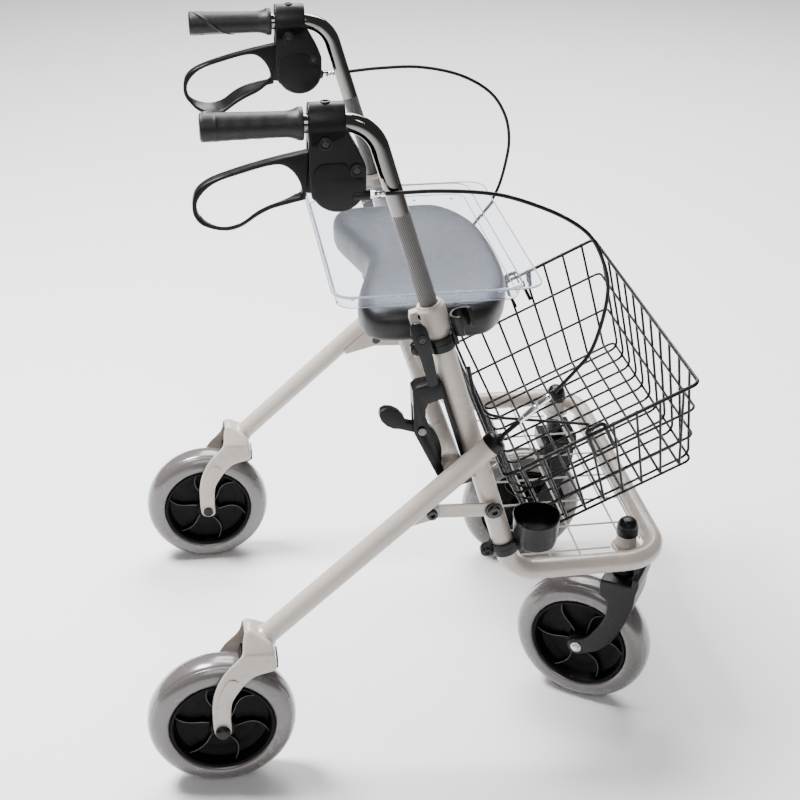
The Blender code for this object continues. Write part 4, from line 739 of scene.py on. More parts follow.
class ROLLATOR_OT_rear_legs(RollatorStep, bpy.types.Operator):
    """Rear legs with brackets, plugs and cable barrels, pressed forks, shoes and axles"""
    bl_idname = "rollator.rear_legs"
    bl_label = "Rear legs"

    def execute(self, context):
        for name, side in SIDES:
            self.leg(name, side)
            self.plug(name, side)
            self.fork(name, side)
            self.shoe(name, side)
            axle = [(0.0, -0.0347), (0.008, -0.0347), (0.008, -0.0318), (0.004, -0.0318), (0.004, 0.0318),
                    (0.01, 0.0318), (0.01, 0.0365), (0.007, 0.0393), (0.0, 0.0393)]
            cap = turned("axle_cap_" + name, axle, 0.001, 32, along_y(REAR_AXLE, side * LEG_Y, side), cuts=4)
            dress(cap, "charcoal", "rear_frame", "rear_axle_" + name)
        return {"FINISHED"}

    def leg(self, name, side):
        """Tube with a flat bracket for the link below it and a weld at its lower end."""
        tube = drawn("leg_tube_" + name, [[leg_place(side, -0.338), leg_place(side, LEG_TOP)]],
                     self.sizes.tube, 32)
        away = Vector(LINK_LOW) - Vector(CROSS_PLACE)
        way = Vector((math.cos(LEG_SLOPE), math.sin(LEG_SLOPE)))
        along = away.dot(way)
        below = (away - along * way).length
        outline = [(along - 0.052, -0.0125), (along - 0.05, -0.006), (along + 0.022, -0.006),
                   (along + 0.022, -0.0125)] + arc((along, -below), 0.011, 25, -125, 14)
        outline = [Vector(CROSS_PLACE) + a * way + b * Vector((-way.y, way.x)) for a, b in outline]
        bracket = plate("leg_bracket_" + name, [outline], side * 0.2556, side * 0.259, 0.0007)
        seam = turned("seam", [(0.0138, 0.0), (0.0168, 0.0), (0.0138, 0.0055)], 0.0008, 40,
                      leg_frame(side, -0.3345), loop=True)
        dress(merge_into(tube, bracket, seam), "paint", "rear_frame", "rear_leg_" + name)

    def slice(self, item, heights):
        """Level cuts that give the surface rows to bend along."""
        mesh = bmesh.new()
        mesh.from_mesh(item.data)
        for height in heights:
            bmesh.ops.bisect_plane(mesh, geom=[*mesh.verts, *mesh.edges, *mesh.faces],
                                   plane_co=(0, 0, height),
                                   plane_no=(0, 0, 1))
        mesh.to_mesh(item.data)
        mesh.free()

    def shoe(self, name, side):
        """Hub at the crown's front and a pad under the crown, above the tyre."""
        outline = arc(REAR_AXLE, 0.1024, 50, 75, 14) + arc(REAR_AXLE, 0.115, 75, 62, 6)
        outline += [(-0.2215, 0.208), (-0.213, 0.2085), (-0.205, 0.199), (-0.205, 0.185), (-0.2085, 0.182)]
        middle = side * LEG_Y
        pad = plate("shoe_" + name, [outline], middle - 0.013, middle + 0.013, 0.001)
        pin = disc("shoe_pin", 0.0032, -0.031, 0.031, 0.0006, 20, along_y(SHOE_PIVOT, middle), cuts=2)
        dress(merge_into(pad, pin), "black", "shoe_" + name, "brake_shoe_" + name)

    def plug(self, name, side):
        """Domed plug in the leg's top, with the cable's sleeve and its adjusting barrel."""
        spot = leg_frame(side, LEG_TOP)
        cap = [(0.0, 0.0003), (0.015, 0.0003), (0.015, 0.0122), (0.0112, 0.015), (0.0058, 0.016),
               (0.0042, 0.0215), (0.0, 0.0215)]
        dress(turned("top_plug_" + name, cap, 0.001, 36, spot, cuts=4), "black", "rear_frame",
              "leg_plug_" + name)
        sleeve = [(0.0, 0.0205), (0.003, 0.0205), (0.003, 0.05), (0.0, 0.05)]
        dress(spun("lower_sleeve_" + name, sleeve, 20, spot), "cable", "rear_frame")
        barrel = [(0.0, 0.049), (0.0036, 0.049), (0.0036, 0.056), (0.0045, 0.057), (0.0045, 0.076),
                  (0.0033, 0.077), (0.0033, 0.08), (0.0045, 0.081), (0.0045, 0.096), (0.003, 0.0985),
                  (0.0, 0.0985)]
        dress(turned("cable_barrel_" + name, barrel, 0.0005, 28, spot), "barrel", "rear_frame")

    def fork(self, name, side):
        """Pressed fork: a round-edged block cut by the wheel's room, drawn in at the top."""
        outline = [(-0.2912, 0.0915), (-0.2948, 0.099), (-0.2958, 0.1199), (-0.2941, 0.1507),
                   (-0.2864, 0.1763), (-0.2743, 0.1975), (-0.26, 0.212), (-0.252, 0.223), (-0.25, 0.238),
                   (-0.247, 0.2465), (-0.24, 0.249), (-0.2215, 0.237), (-0.2115, 0.227), (-0.209, 0.2118),
                   (-0.2075, 0.202), (-0.21, 0.1935), (-0.215, 0.1915), (-0.2355, 0.1863), (-0.2486, 0.1757),
                   (-0.2621, 0.157), (-0.2692, 0.1414), (-0.2712, 0.1167), (-0.2712, 0.097),
                   (-0.2745, 0.0905), (-0.283, 0.088)]
        middle = side * LEG_Y
        fork = plate("rear_fork_skin_" + name, [through(outline, 3)], middle - 0.0315, middle + 0.0315, 0.004,
                     steps=4)
        carve(fork, rod(0.1045, 0.0572, 96, along_y(REAR_AXLE, middle, -1)))
        inside = [(-0.31, 0.19), (-0.31, 0.27), (-0.251, 0.27), (-0.2468, 0.242), (-0.24, 0.244),
                  (-0.225, 0.2325), (-0.2155, 0.2235), (-0.213, 0.2115), (-0.2125, 0.206), (-0.2125, 0.185),
                  (-0.23, 0.185)]
        carve(fork, plate("inside", [inside], middle - 0.0278, middle + 0.0278, 0.002))
        self.slice(fork, [0.213 + 0.0015 * k for k in range(26)])
        for vert in fork.data.vertices:
            fold = 0.219 + 0.004 * (-0.215 - vert.co.x) / 0.033
            rise = max(0.0, (vert.co.z - fold) / 0.03)
            soft = rise * rise / (rise + 0.05)
            vert.co.y = middle + (vert.co.y - middle) * (1 - 0.62 * min(1.0, soft))
        rib = [(-0.2885, 0.128), (-0.287, 0.15), (-0.2795, 0.172), (-0.27, 0.186), (-0.259, 0.181),
               (-0.2665, 0.169), (-0.274, 0.152), (-0.2765, 0.128), (-0.28, 0.1245), (-0.286, 0.1245)]
        ribs = []
        for face in (-1, 1):
            base = middle + face * 0.0312
            ribs.append(plate("rib", [through(rib, 4)], base, base + face * 0.0022, 0.0009, steps=3))
        dress(merge_into(fork, *ribs), "paint", "rear_frame", "rear_fork_" + name,
              slot="beige_plastic", smooth=40)


class ROLLATOR_OT_wheels(RollatorStep, bpy.types.Operator):
    """One tyre and one ribbed rim, copied to the four axles"""
    bl_idname = "rollator.wheels"
    bl_label = "Wheels"

    def execute(self, context):
        (rim, rib_highlight), tyre = self.rim(), self.tyre()
        places = {}
        for name, side in SIDES:
            spot = posed((REAR_AXLE[0], side * LEG_Y, REAR_AXLE[1]), 0.3)
            places["rear_rim_" + name, "rear_tyre_" + name, "rear_wheel_" + name] = spot
            spot = swivel_frame(name, side) @ posed((CASTER_AXLE[0], 0, CASTER_AXLE[1]), 1.1)
            places["caster_rim_" + name, "caster_tyre_" + name, "caster_wheel_" + name] = spot
        for (rim_node, tyre_node, body), spot in places.items():
            dress(twin(rim, rim_node + "_skin", spot), "rim", body, rim_node)
            # The strips on the ribs' tops carry a painted highlight.
            dress(twin(rib_highlight, rim_node + "_painted_highlights", spot), "rib_highlight", body)
            dress(twin(tyre, tyre_node + "_skin", spot), "tyre", body, tyre_node, smooth=50)
        for item in (rim, rib_highlight, tyre):
            bpy.data.objects.remove(item, do_unlink=True)
        return {"FINISHED"}

    def tyre(self):
        half = [(0.0708, 0.0205), (0.0722, 0.0232), (0.076, 0.0244), (0.082, 0.0243), (0.088, 0.0228),
                (0.0925, 0.0202), (0.0953, 0.0174), (0.0957, 0.0167), (0.0955, 0.016), (0.0966, 0.015),
                (0.0982, 0.0114), (0.0993, 0.007), (0.0998, 0.0036), (0.1, 0.0012)]
        return spun("tyre", both_sides(half), 128, along_y((0, 0), 0), loop=True)

    def rim(self):
        """Dished rim with its ribs on both sides, and thin lighter strips on the ribs' tops, a painted
        highlight of the rib edges catching light.
        """
        half = [(0.0045, 0.0265), (0.015, 0.0265), (0.0165, 0.0255), (0.0175, 0.015), (0.019, 0.0085),
                (0.025, 0.005), (0.044, 0.005), (0.0455, 0.0055), (0.047, 0.005), (0.056, 0.0056),
                (0.0615, 0.008), (0.065, 0.02), (0.066, 0.0225), (0.068, 0.0236), (0.0695, 0.0236),
                (0.0706, 0.0222)]
        rim = spun("rim", both_sides(half), 96, along_y((0, 0), 0), loop=True)
        ribs, rib_highlights = [], []
        for i in range(self.sizes.spokes):
            turn = 2 * math.pi * i / self.sizes.spokes
            # Narrow strip on each rib's top, for the painted highlight.
            rib, rib_highlight = [self.strip(turn, 0.0009)], [self.strip(turn, 0.0006)]
            for face in (1, -1):
                ribs.append(plate("rib", rib, face * 0.003, face * 0.0165, 0.0004, steps=1))
                rib_highlights.append(plate("rib_highlight", rib_highlight, face * 0.0161, face * 0.0169, 0.0002, steps=1))
        rim, rib_highlight = merge_into(rim, *ribs), merge_into(*rib_highlights)
        for vert in [*rim.data.vertices, *rib_highlight.data.vertices]:
            reach = math.hypot(vert.co.x, vert.co.z)
            if abs(abs(vert.co.y) - 0.0165) < 0.0006 and 0.0165 < reach < 0.0645:
                share = (reach - 0.0165) / 0.048
                vert.co.y *= 1 - 0.3 * math.sin(math.pi * share)
        return rim, rib_highlight

    def strip(self, turn, half):
        """Outline of one bowed rib, from the hub to the rim's wall."""
        line = []
        for k in range(9):
            line.append((0.015 + 0.05 * k / 8, turn + 0.22 * math.sin(math.pi * k / 8)))
        outer = [(r * math.cos(a + half / r), r * math.sin(a + half / r)) for r, a in line]
        inner = [(r * math.cos(a - half / r), r * math.sin(a - half / r)) for r, a in reversed(line)]
        return outer + inner


class ROLLATOR_OT_casters(RollatorStep, bpy.types.Operator):
    """Moulded caster forks with their stems and domed caps, and the axle nuts"""
    bl_idname = "rollator.casters"
    bl_label = "Casters"

    def execute(self, context):
        fork, cap, nut = self.fork(), self.cap(), self.nut()
        for name, side in SIDES:
            spot = swivel_frame(name, side)
            body = "caster_" + name
            dress(twin(fork, "caster_fork_skin_" + name, spot), "black", body,
                  "caster_fork_" + name, smooth=40)
            dress(twin(cap, "stem_cap_" + name, spot), "black", body)
            dress(twin(nut, "axle_nuts_" + name, spot), "steel", body, "caster_axle_" + name, smooth=30)
        for item in (fork, cap, nut):
            bpy.data.objects.remove(item, do_unlink=True)
        return {"FINISHED"}

    def fork(self):
        outline = [(-0.06, 0.0935), (-0.062, 0.1), (-0.059, 0.1085), (-0.0365, 0.1218), (-0.0221, 0.1431),
                   (-0.0125, 0.1653), (-0.011, 0.1846), (-0.015, 0.196), (-0.0228, 0.203), (-0.024, 0.21),
                   (-0.0238, 0.223), (-0.0225, 0.2265), (-0.019, 0.2275), (0.0, 0.2278), (0.019, 0.2285),
                   (0.0212, 0.231), (0.0218, 0.2395), (0.024, 0.2415), (0.0285, 0.241), (0.0305, 0.238),
                   (0.0312, 0.2264), (0.0279, 0.213), (0.0257, 0.1885), (0.0133, 0.1523), (0.0, 0.1233),
                   (-0.0189, 0.1016), (-0.0323, 0.0945), (-0.041, 0.0895), (-0.05, 0.0885)]
        fork = plate("fork", [through(outline, 3)], -0.0325, 0.0325, 0.003, steps=3)
        carve(fork, rod(0.104, 0.055, 96, along_y(CASTER_AXLE, 0, -1)))
        pieces = []
        for face in (-1, 1):
            pieces.append(disc("boss", 0.013, 0.0265, 0.0318, 0.001, 28, along_y(CASTER_AXLE, 0, face)))
        stem = [(0.0, 0.222), (0.015, 0.222), (0.015, 0.233), (0.0125, 0.2345), (0.0125, 0.2617),
                (0.008, 0.2617), (0.008, 0.292), (0.0, 0.292)]
        return merge_into(fork, turned("stem", stem, 0.001, 32), *pieces)

    def cap(self):
        """Cup on the stem with a dome above a narrow groove."""
        profile = [(0.0, 0.2923), (0.015, 0.2923), (0.015, 0.3036), (0.0142, 0.304), (0.0142, 0.3048),
                   (0.0146, 0.3052), (0.0138, 0.3092), (0.0115, 0.3138), (0.0078, 0.3165), (0.004, 0.3176),
                   (0.0, 0.3178)]
        return turned("cap", profile, 0.0006, 40)

    def nut(self):
        """Axle with a washer and a domed nut at both ends."""
        shaft = [(0.0, -0.031), (0.004, -0.031), (0.004, 0.031), (0.0, 0.031)]
        dome = [(0.0, 0.0334), (0.006, 0.0334), (0.006, 0.035), (0.004, 0.037), (0.0, 0.0373)]
        pieces = [spun("rod", shaft, 20, along_y(CASTER_AXLE, 0))]
        for face in (-1, 1):
            spot = along_y(CASTER_AXLE, 0, face)
            pieces.append(disc("washer", 0.0078, 0.0325, 0.0336, 0.0003, 28, spot, cuts=2))
            pieces.append(turned("dome", dome, 0.0008, 24, spot))
        return merge_into(*pieces)


class ROLLATOR_OT_handles(RollatorStep, bpy.types.Operator):
    """Chrome handle tubes, knurled sleeves, grips, brake housings, drums and loop levers"""
    bl_idname = "rollator.handles"
    bl_label = "Handles"

    def execute(self, context):
        for name, side in SIDES:
            self.tube(name, side)
            self.knurl(name, side)
            self.grip(name, side)
            self.housing(name, side)
            self.lever(name, side)
            drum = from_node("brake_drum_" + name, "drum_" + name, 0.0008, 2)
            for vert in drum.data.vertices:
                away = vert.co.y - side * HALF_TRACK
                vert.co.y = side * HALF_TRACK + max(-DRUM_HALF, min(DRUM_HALF, away))
            dress(drum, "black", "drum_" + name, "brake_drum_" + name)
        return {"FINISHED"}

    def path(self, side, low_end):
        y = side * HALF_TRACK
        return bent([(-0.2575, y, HANDLE_Z), (upright_x(HANDLE_Z), y, HANDLE_Z),
                     (upright_x(low_end), y, low_end)],
                    (0.045,), math.radians(2.5))

    def tube(self, name, side):
        """Bent tube with a long pressed groove on the outside of its bend."""
        path = self.path(side, 0.5053)
        fine = []
        for here, there in zip(path, path[1:]):
            steps = max(1, round((there - here).length / 0.0025))
            fine += [here.lerp(there, k / steps) for k in range(steps)]
        fine.append(path[-1])
        item = drawn("chrome_tube_" + name, [fine], self.sizes.handle_tube, 48)
        y = side * HALF_TRACK
        start, end = Vector((-0.0985, y, HANDLE_Z)), Vector((-0.0455, y, 0.8175))
        line = [p for p in fine if p.x >= start.x - 0.001 and p.z >= end.z]
        far = {}
        for vert in item.data.vertices:
            if vert.co.x < -0.105 or vert.co.z < 0.808:
                continue
            nearest = min(line, key=lambda p: (p - vert.co).length_squared)
            out = vert.co - nearest
            if out.length < 0.005:
                continue
            along = line.index(nearest)
            before, after = line[max(0, along - 1)], line[min(len(line) - 1, along + 1)]
            way = (after - before).normalized()
            convex = way.cross(Vector((0, 1, 0)))
            convex = convex if convex.x > 0 or convex.z > 0 else -convex
            turn = math.atan2(out.y * side, out.dot(convex))
            aside = abs(turn - math.radians(38.0)) / math.radians(17.0)
            ends = min(1.0, along / 5, (len(line) - 1 - along) / 3)
            if aside < 1 and ends > 0:
                depth = 0.0022 * min(1.0, (1 - aside * aside) * 1.6) * math.sqrt(ends)
                far[vert.index] = vert.co - out.normalized() * depth
        for index, place in far.items():
            item.data.vertices[index].co = place
        dress(item, "chrome", "handle_" + name, "handle_tube_" + name, smooth=60)

    def knurl(self, name, side):
        """Thin sleeve over the tube, with a map that runs round it and along it."""
        low, high, radius = 0.6795, 0.796, self.sizes.handle_tube + 0.00005
        length = (high - low) / math.cos(LEAN)
        bpy.ops.mesh.primitive_cylinder_add(vertices=48, radius=radius, depth=length,
                                            end_fill_type="NOTHING")
        item = bpy.context.object
        item.name = "knurl_" + name
        chart = item.data.uv_layers[0]
        chart.name = "sleeve"
        for face in item.data.polygons:
            middle = math.atan2(face.center.y, face.center.x)
            for loop in face.loop_indices:
                co = item.data.vertices[item.data.loops[loop].vertex_index].co
                angle = math.atan2(co.y, co.x)
                if angle - middle > math.pi:
                    angle -= 2 * math.pi
                if middle - angle > math.pi:
                    angle += 2 * math.pi
                chart.data[loop].uv = (angle * radius * 1000, co.z * 1000)
        wall = item.modifiers.new("wall", "SOLIDIFY")
        wall.thickness = 0.0004
        wall.offset = -1.0
        apply_all(item)
        item.data.transform(lean_frame((low + high) / 2, side * HALF_TRACK))
        dress(item, "knurl", "handle_" + name)

    def grip(self, name, side):
        """Rubber grip with a flared front end, a waist and soft finger swells below."""
        outside = [(0.0, -0.265), (0.01, -0.265), (0.015, -0.2642), (0.0163, -0.2615), (0.0162, -0.25),
                   (0.0157, -0.235), (0.0153, -0.215), (0.0149, -0.195), (0.0146, -0.175), (0.015, -0.167),
                   (0.0166, -0.1605), (0.0184, -0.1565), (0.0187, -0.1535), (0.0182, -0.1508),
                   (0.0165, -0.1504), (0.0114, -0.1504)]
        profile = [(max(0.0, r), z) for r, z in through(outside, 20, closed=False)]
        item = spun("grip_skin_" + name, profile, 72)
        for vert in item.data.vertices:
            height, turn = vert.co.z, math.atan2(vert.co.y, vert.co.x)
            reach = math.hypot(vert.co.x, vert.co.y)
            if reach < 0.012 or not -0.2635 < height < -0.168:
                continue
            outer = max(0.0, math.cos(turn - side * math.radians(75.0)))
            push = 0.0
            if -0.241 < height < -0.184:
                push += 0.0003 * outer * math.sin((height + 0.241) / 0.0095 * math.pi)
            around = side * turn
            line = -0.262 + (0.06 * (around + math.pi) / math.pi if around < 0 else 0.015)
            if around < 0:
                push += 0.0013 * math.exp(-((height - line) / 0.002) ** 2)
                push -= 0.0013 * min(1.0, max(0.0, (line - height) / 0.003))
            else:
                push += 0.0005 * math.exp(-((height - line) / 0.0016) ** 2)
            vert.co.x *= 1 + push / reach
            vert.co.y *= 1 + push / reach
        item.data.transform(posed((0, side * HALF_TRACK, HANDLE_Z), math.pi / 2))
        dress(item, "grip", "handle_" + name, "grip_" + name, smooth=50)

    def housing(self, name, side):
        """Round saddle over the tube and a box below it, with bolts, raised covers and the cable's socket."""
        y = side * HALF_TRACK
        half = 0.0182
        outline = [(-0.144, 0.8241), (-0.1463, 0.85), (-0.1463, 0.8791), (-0.1456, 0.904), (-0.104, 0.905),
                   (-0.102, 0.9), (-0.0848, 0.8677), (-0.0815, 0.8588)]
        outline += arc(BRAKE_PIVOT, 0.0321, -7, -148, 24)
        body = plate("housing_skin_" + name, [eased(outline, 0.003, 3)], y - half, y + half, 0.0024, steps=3)
        crown = [(half, 0.886), (half, 0.905)]
        crown += [(half * math.cos(math.radians(a)), 0.905 + 0.0258 * math.sin(math.radians(a)))
                  for a in range(10, 171, 10)]
        crown += [(-half, 0.905), (-half, 0.886)]
        turn = Matrix(((0, 0, 1, 0), (1, 0, 0, y), (0, 1, 0, 0), (0, 0, 0, 1)))
        saddle = plate("saddle", [crown], -0.1456, -0.104, 0.0016, turn, flat="XY", steps=3)
        for item in (body, saddle):
            carve(item, drawn("room", [self.path(side, 0.8)], 0.0111, 32))
        carve(body, box("slot", (-0.17, y - 0.01, 0.795), (-0.0865, y + 0.01, 0.887)))
        trims = [saddle]
        cover = [(-0.1418, 0.83), (-0.1428, 0.843), (-0.1405, 0.858), (-0.1345, 0.8638), (-0.127, 0.865),
                 (-0.1085, 0.865), (-0.1035, 0.8635), (-0.1012, 0.8575), (-0.097, 0.85), (-0.0915, 0.8475),
                 (-0.086, 0.8465), (-0.0835, 0.842)]
        cover += arc(BRAKE_PIVOT, 0.0303, 0, -152, 20)
        cover = [eased(cover, 0.003, 3)]
        for face in (-1, 1):
            base = y + face * half
            trims.append(plate("cover", cover, base - face * 0.001, base + face * 0.0015, 0.0006))
            for x, z in ((-0.1275, 0.8886), (-0.0928, 0.8565)):
                spot = along_y((x, z), base, face)
                trims.append(ring("lip", 0.0046, 0.008, -0.001, 0.002, 0.0006, 32, spot))
                title = f"housing_bolt_{name}_{'outer' if face == side else 'inner'}_{int(z * 1000)}"
                dress(hex_bolt(title, 0.0043, 0.0013, spot), "bolt", "handle_" + name)
        turn = posed((0, y + side * 0.015, CABLE_SOCKET_Z), math.pi / 2)
        socket = [(0.0, -0.097), (0.0065, -0.097), (0.0065, -0.0778), (0.0, -0.0776)]
        trims.append(turned("socket", socket, 0.0006, 28, turn))
        dress(merge_into(body, *trims), "charcoal", "handle_" + name, "brake_housing_" + name,
              slot="housing", smooth=40)
        nut = rod(0.005, 0.008, 6, Matrix.Identity(4))
        round_edges(nut, 0.0005)
        nut.data.transform(turn @ Matrix.Translation((0, 0, -0.0735)))
        stop = [(0.0, -0.07), (0.0034, -0.0695), (0.0034, -0.0665), (0.0026, -0.065), (0.0037, -0.064),
                (0.0037, -0.0612), (0.0028, -0.0601), (0.0, -0.0601)]
        nut = merge_into(nut, turned("stop", stop, 0.0004, 24, turn))
        nut.name = "cable_nut_" + name
        dress(nut, "barrel", "handle_" + name, smooth=30)
        button = hex_bolt("top_screw_" + name, 0.0056, 0.0022, Matrix.Translation((-0.1253, y, 0.9298)))
        dress(button, "bolt", "handle_" + name)

    def lever(self, name, side):
        """Loop of flat band with round edges, and its root in the housing's slot."""
        outer = [(-0.1444, 0.8764), (-0.166, 0.8722), (-0.187, 0.8678), (-0.2218, 0.8589), (-0.2556, 0.8477),
                 (-0.272, 0.836), (-0.2775, 0.822), (-0.2768, 0.8074), (-0.2675, 0.7949), (-0.2454, 0.7877),
                 (-0.2249, 0.7914), (-0.205, 0.804), (-0.189, 0.8113), (-0.17, 0.816), (-0.15, 0.8205)]
        inner = [(-0.1546, 0.8263), (-0.17, 0.8215), (-0.19, 0.8165), (-0.206, 0.809), (-0.2249, 0.7962),
                 (-0.2454, 0.7925), (-0.265, 0.799), (-0.2722, 0.809), (-0.2708, 0.8262), (-0.253, 0.8437),
                 (-0.2205, 0.8547), (-0.185, 0.863), (-0.169, 0.859), (-0.1575, 0.8442)]
        middle = side * (HALF_TRACK + 0.0005)
        loops = [through(outer, 4, closed=False), through(inner, 4)]
        item = plate("lever_skin_" + name, loops, middle - 0.008, middle + 0.008, 0.0016, steps=3)
        for vert in item.data.vertices:
            along = (vert.co.x + 0.268) / 0.105
            if 0 < along < 1 and vert.co.z < 0.816 + 0.01 * along:
                inward = max(0.0, side * (middle - vert.co.y) + 0.004)
                swell = math.sin(math.pi * along) ** 0.5
                vert.co.z -= 0.85 * inward * swell
                vert.co.y -= side * 0.6 * inward * swell
        root = side * (HALF_TRACK - 0.0092)
        low, high = sorted((root, root + side * 0.008))
        outline = [(-0.15, 0.8255), (-0.1136, 0.82), (-0.1136, 0.858), (-0.148, 0.87)]
        web = plate("web", [outline], low, high, 0.0004)
        hub = disc("disc", 0.02, low + 0.0001, high - 0.0001, 0.0006, 48, along_y(BRAKE_PIVOT, 0))
        dress(merge_into(item, web, hub), "charcoal", "lever_" + name, "brake_lever_" + name, smooth=42)


class ROLLATOR_OT_clamps(RollatorStep, bpy.types.Operator):
    """Clamp levers of the height collars, cane clip and cane cup"""
    bl_idname = "rollator.clamps"
    bl_label = "Clamps and cane holder"

    def execute(self, context):
        for name, side in SIDES:
            lever = from_node("clamp_lever_" + name, "height_lever_" + name, 0.0013, 3)
            spot = along_y(CLAMP_PIVOT, side * (HALF_TRACK + 0.0245), side)
            lever = merge_into(lever, ring("lip", 0.0044, 0.0078, -0.001, 0.0013, 0.0005, 32, spot))
            dress(lever, "black", "clamp_" + name, "clamp_lever_" + name, smooth=42)
            dress(hex_bolt("lever_bolt_" + name, 0.0042, 0.0012, spot), "bolt", "clamp_" + name)
            top = ring("collar_lip_" + name, 0.0113, 0.015, 0.015, 0.018, 0.0006, 40,
                       lean_frame(COLLAR_Z, side * HALF_TRACK))
            dress(top, "beige", "front_frame")
        self.clip()
        self.cup()
        return {"FINISHED"}

    def band(self, height, reach):
        """Clamp ring round the right upright, its rounded lug behind and the bolt through that."""
        place = lean_frame(height, -HALF_TRACK)
        pieces = [ring("band", 0.0143, 0.0185, -0.0093, 0.0093, 0.0009, 48, place),
                  ring("bead", 0.0183, 0.0189, -0.0012, 0.0012, 0.0003, 48, place, cuts=2)]
        lug = [(-0.016, -0.0088)] + arc((-reach, 0.0), 0.0085, 260, 100, 14) + [(-0.016, 0.0088)]
        pieces.append(plate("lug", [lug], -0.0052, 0.0052, 0.001, place))
        for face in (-1, 1):
            spot = place @ along_y((-reach, 0), face * 0.005, face)
            pieces.append(hex_bolt("bolt", 0.006, 0.0032, spot))
        return merge_into(*pieces)

    def clip(self):
        place = lean_frame(CLIP_Z, -HALF_TRACK)
        inner, outer = 0.01, 0.0145
        centre = (math.sqrt((0.014 + 0.0042 + outer + 0.0007) ** 2 - 0.008 ** 2), -0.008)
        jaw = arc(centre, outer, 10, 260, 40) + arc(centre, inner, 260, 10, 40)
        grip = plate("jaw", [jaw], 0.008, 0.035, 0.001, place, flat="XY")
        arm = box("arm", (0.016, -0.011, -0.006), (centre[0] - inner - 0.001, 0.003, 0.0145), place)
        round_edges(arm, 0.0012)
        dress(merge_into(self.band(0.6285, 0.03), grip, arm), "black", "front_frame", "cane_clip", smooth=42)

    def cup(self):
        """Oval cup with a thin rolled rim, on an arm from its band."""
        rim = [(0.1455, -0.214), (0.1235, -0.2195), (0.1145, -0.236), (0.115, -0.257), (0.1235, -0.2735),
               (0.142, -0.28), (0.1635, -0.272), (0.176, -0.246), (0.1695, -0.224)]
        loop = through(rim, 8)
        middle = sum(loop, Vector((0, 0))) / len(loop)
        layers = ((0.3285, 0.3), (0.3285, 0.86), (0.3292, 0.9), (0.331, 0.92), (0.34, 0.935),
                  (0.3402, 0.955), (0.3415, 0.96), (0.363, 0.985), (0.364, 1.0), (0.3658, 1.012),
                  (0.3675, 1.005), (0.3682, 0.985), (0.3677, 0.955), (0.365, 0.935), (0.348, 0.91),
                  (0.344, 0.88), (0.3425, 0.8), (0.3422, 0.3))
        shell = lofted("cup", layered(loop, middle, layers))
        arm = plate("arm", [[(0.12, 0.312), (0.13, 0.314), (0.144, 0.333), (0.1205, 0.344)]],
                    -HALF_TRACK - 0.007, -HALF_TRACK + 0.007, 0.0012)
        dress(merge_into(self.band(CUP_BAND_Z, 0.0245), arm, shell), "black", "front_frame", "cane_cup",
              smooth=42)


class ROLLATOR_OT_cables(RollatorStep, bpy.types.Operator):
    """Brake cables from the housings to the barrels on the legs"""
    bl_idname = "rollator.cables"
    bl_label = "Brake cables"

    def execute(self, context):
        for name, places in CABLE_ROUTES.items():
            route = through(places, 8, closed=False)
            cable = drawn("cable_sleeve_" + name, [route], self.sizes.cable, 14)
            dress(cable, "cable", "front_frame", "brake_cable_" + name, smooth=60)
        return {"FINISHED"}


class ROLLATOR_OT_seat(RollatorStep, bpy.types.Operator):
    """Moulded foam seat with a crowned top and drawn-in sides"""
    bl_idname = "rollator.seat"
    bl_label = "Seat"

    def execute(self, context):
        half = [(0.1308, 0.0), (0.121, 0.585), (0.085, 0.957), (0.03, 1.0), (-0.055, 0.989),
                (-0.0775, 0.745), (-0.06, 0.319), (-0.048, 0.0)]
        half = [(x, y * 0.188) for x, y in half]
        loop = through(half + [(x, -y) for x, y in reversed(half[1:-1])], 8)
        middle = Vector((0.03, 0.0))
        layers = ((0.602, 0.7), (0.602, 0.9), (0.603, 0.945), (0.606, 0.975), (0.611, 0.99), (0.619, 0.998),
                  (0.628, 1.0), (0.635, 0.995), (0.641, 0.978), (0.6455, 0.95), (0.6487, 0.91),
                  (0.651, 0.85), (0.6526, 0.75), (0.6535, 0.6), (0.6539, 0.4), (0.654, 0.18))
        mesh = bmesh.new()
        rings = [[mesh.verts.new(point) for point in row] for row in layered(loop, middle, layers)]
        for low, high in zip(rings, rings[1:]):
            for i in range(len(low)):
                mesh.faces.new((low[i - 1], low[i], high[i], high[i - 1]))
        for row, height in ((rings[0], layers[0][0]), (rings[-1], layers[-1][0])):
            centre = mesh.verts.new((*middle, height))
            for i in range(len(row)):
                mesh.faces.new((row[i - 1], row[i], centre))
        bmesh.ops.recalc_face_normals(mesh, faces=mesh.faces)
        data = bpy.data.meshes.new("seat_cushion")
        mesh.to_mesh(data)
        mesh.free()
        seat = add_object("seat_cushion", data)
        for vert in seat.data.vertices:
            if vert.co.z > 0.648:
                dip = math.exp(-((vert.co.x - 0.02) / 0.05) ** 2) * math.exp(-(vert.co.y / 0.11) ** 2)
                vert.co.z -= 0.0035 * dip
        carve(seat, crossbar("bar_room", 0.2, CROSSBAR_R + 0.0003, 24))
        dress(seat, "seat", "front_frame", "seat", smooth=60)
        x = upright_x(CROSSBAR_Z)
        for name, side in SIDES:
            saddle = box("seat_saddle_" + name, (x - 0.018, side * 0.11, 0.5842),
                         (x + 0.018, side * 0.13, 0.6025))
            carve(saddle, crossbar("bar_room", 0.2, CROSSBAR_R + 0.0003, 24))
            round_edges(saddle, 0.001)
            dress(saddle, "black", "front_frame")
        return {"FINISHED"}


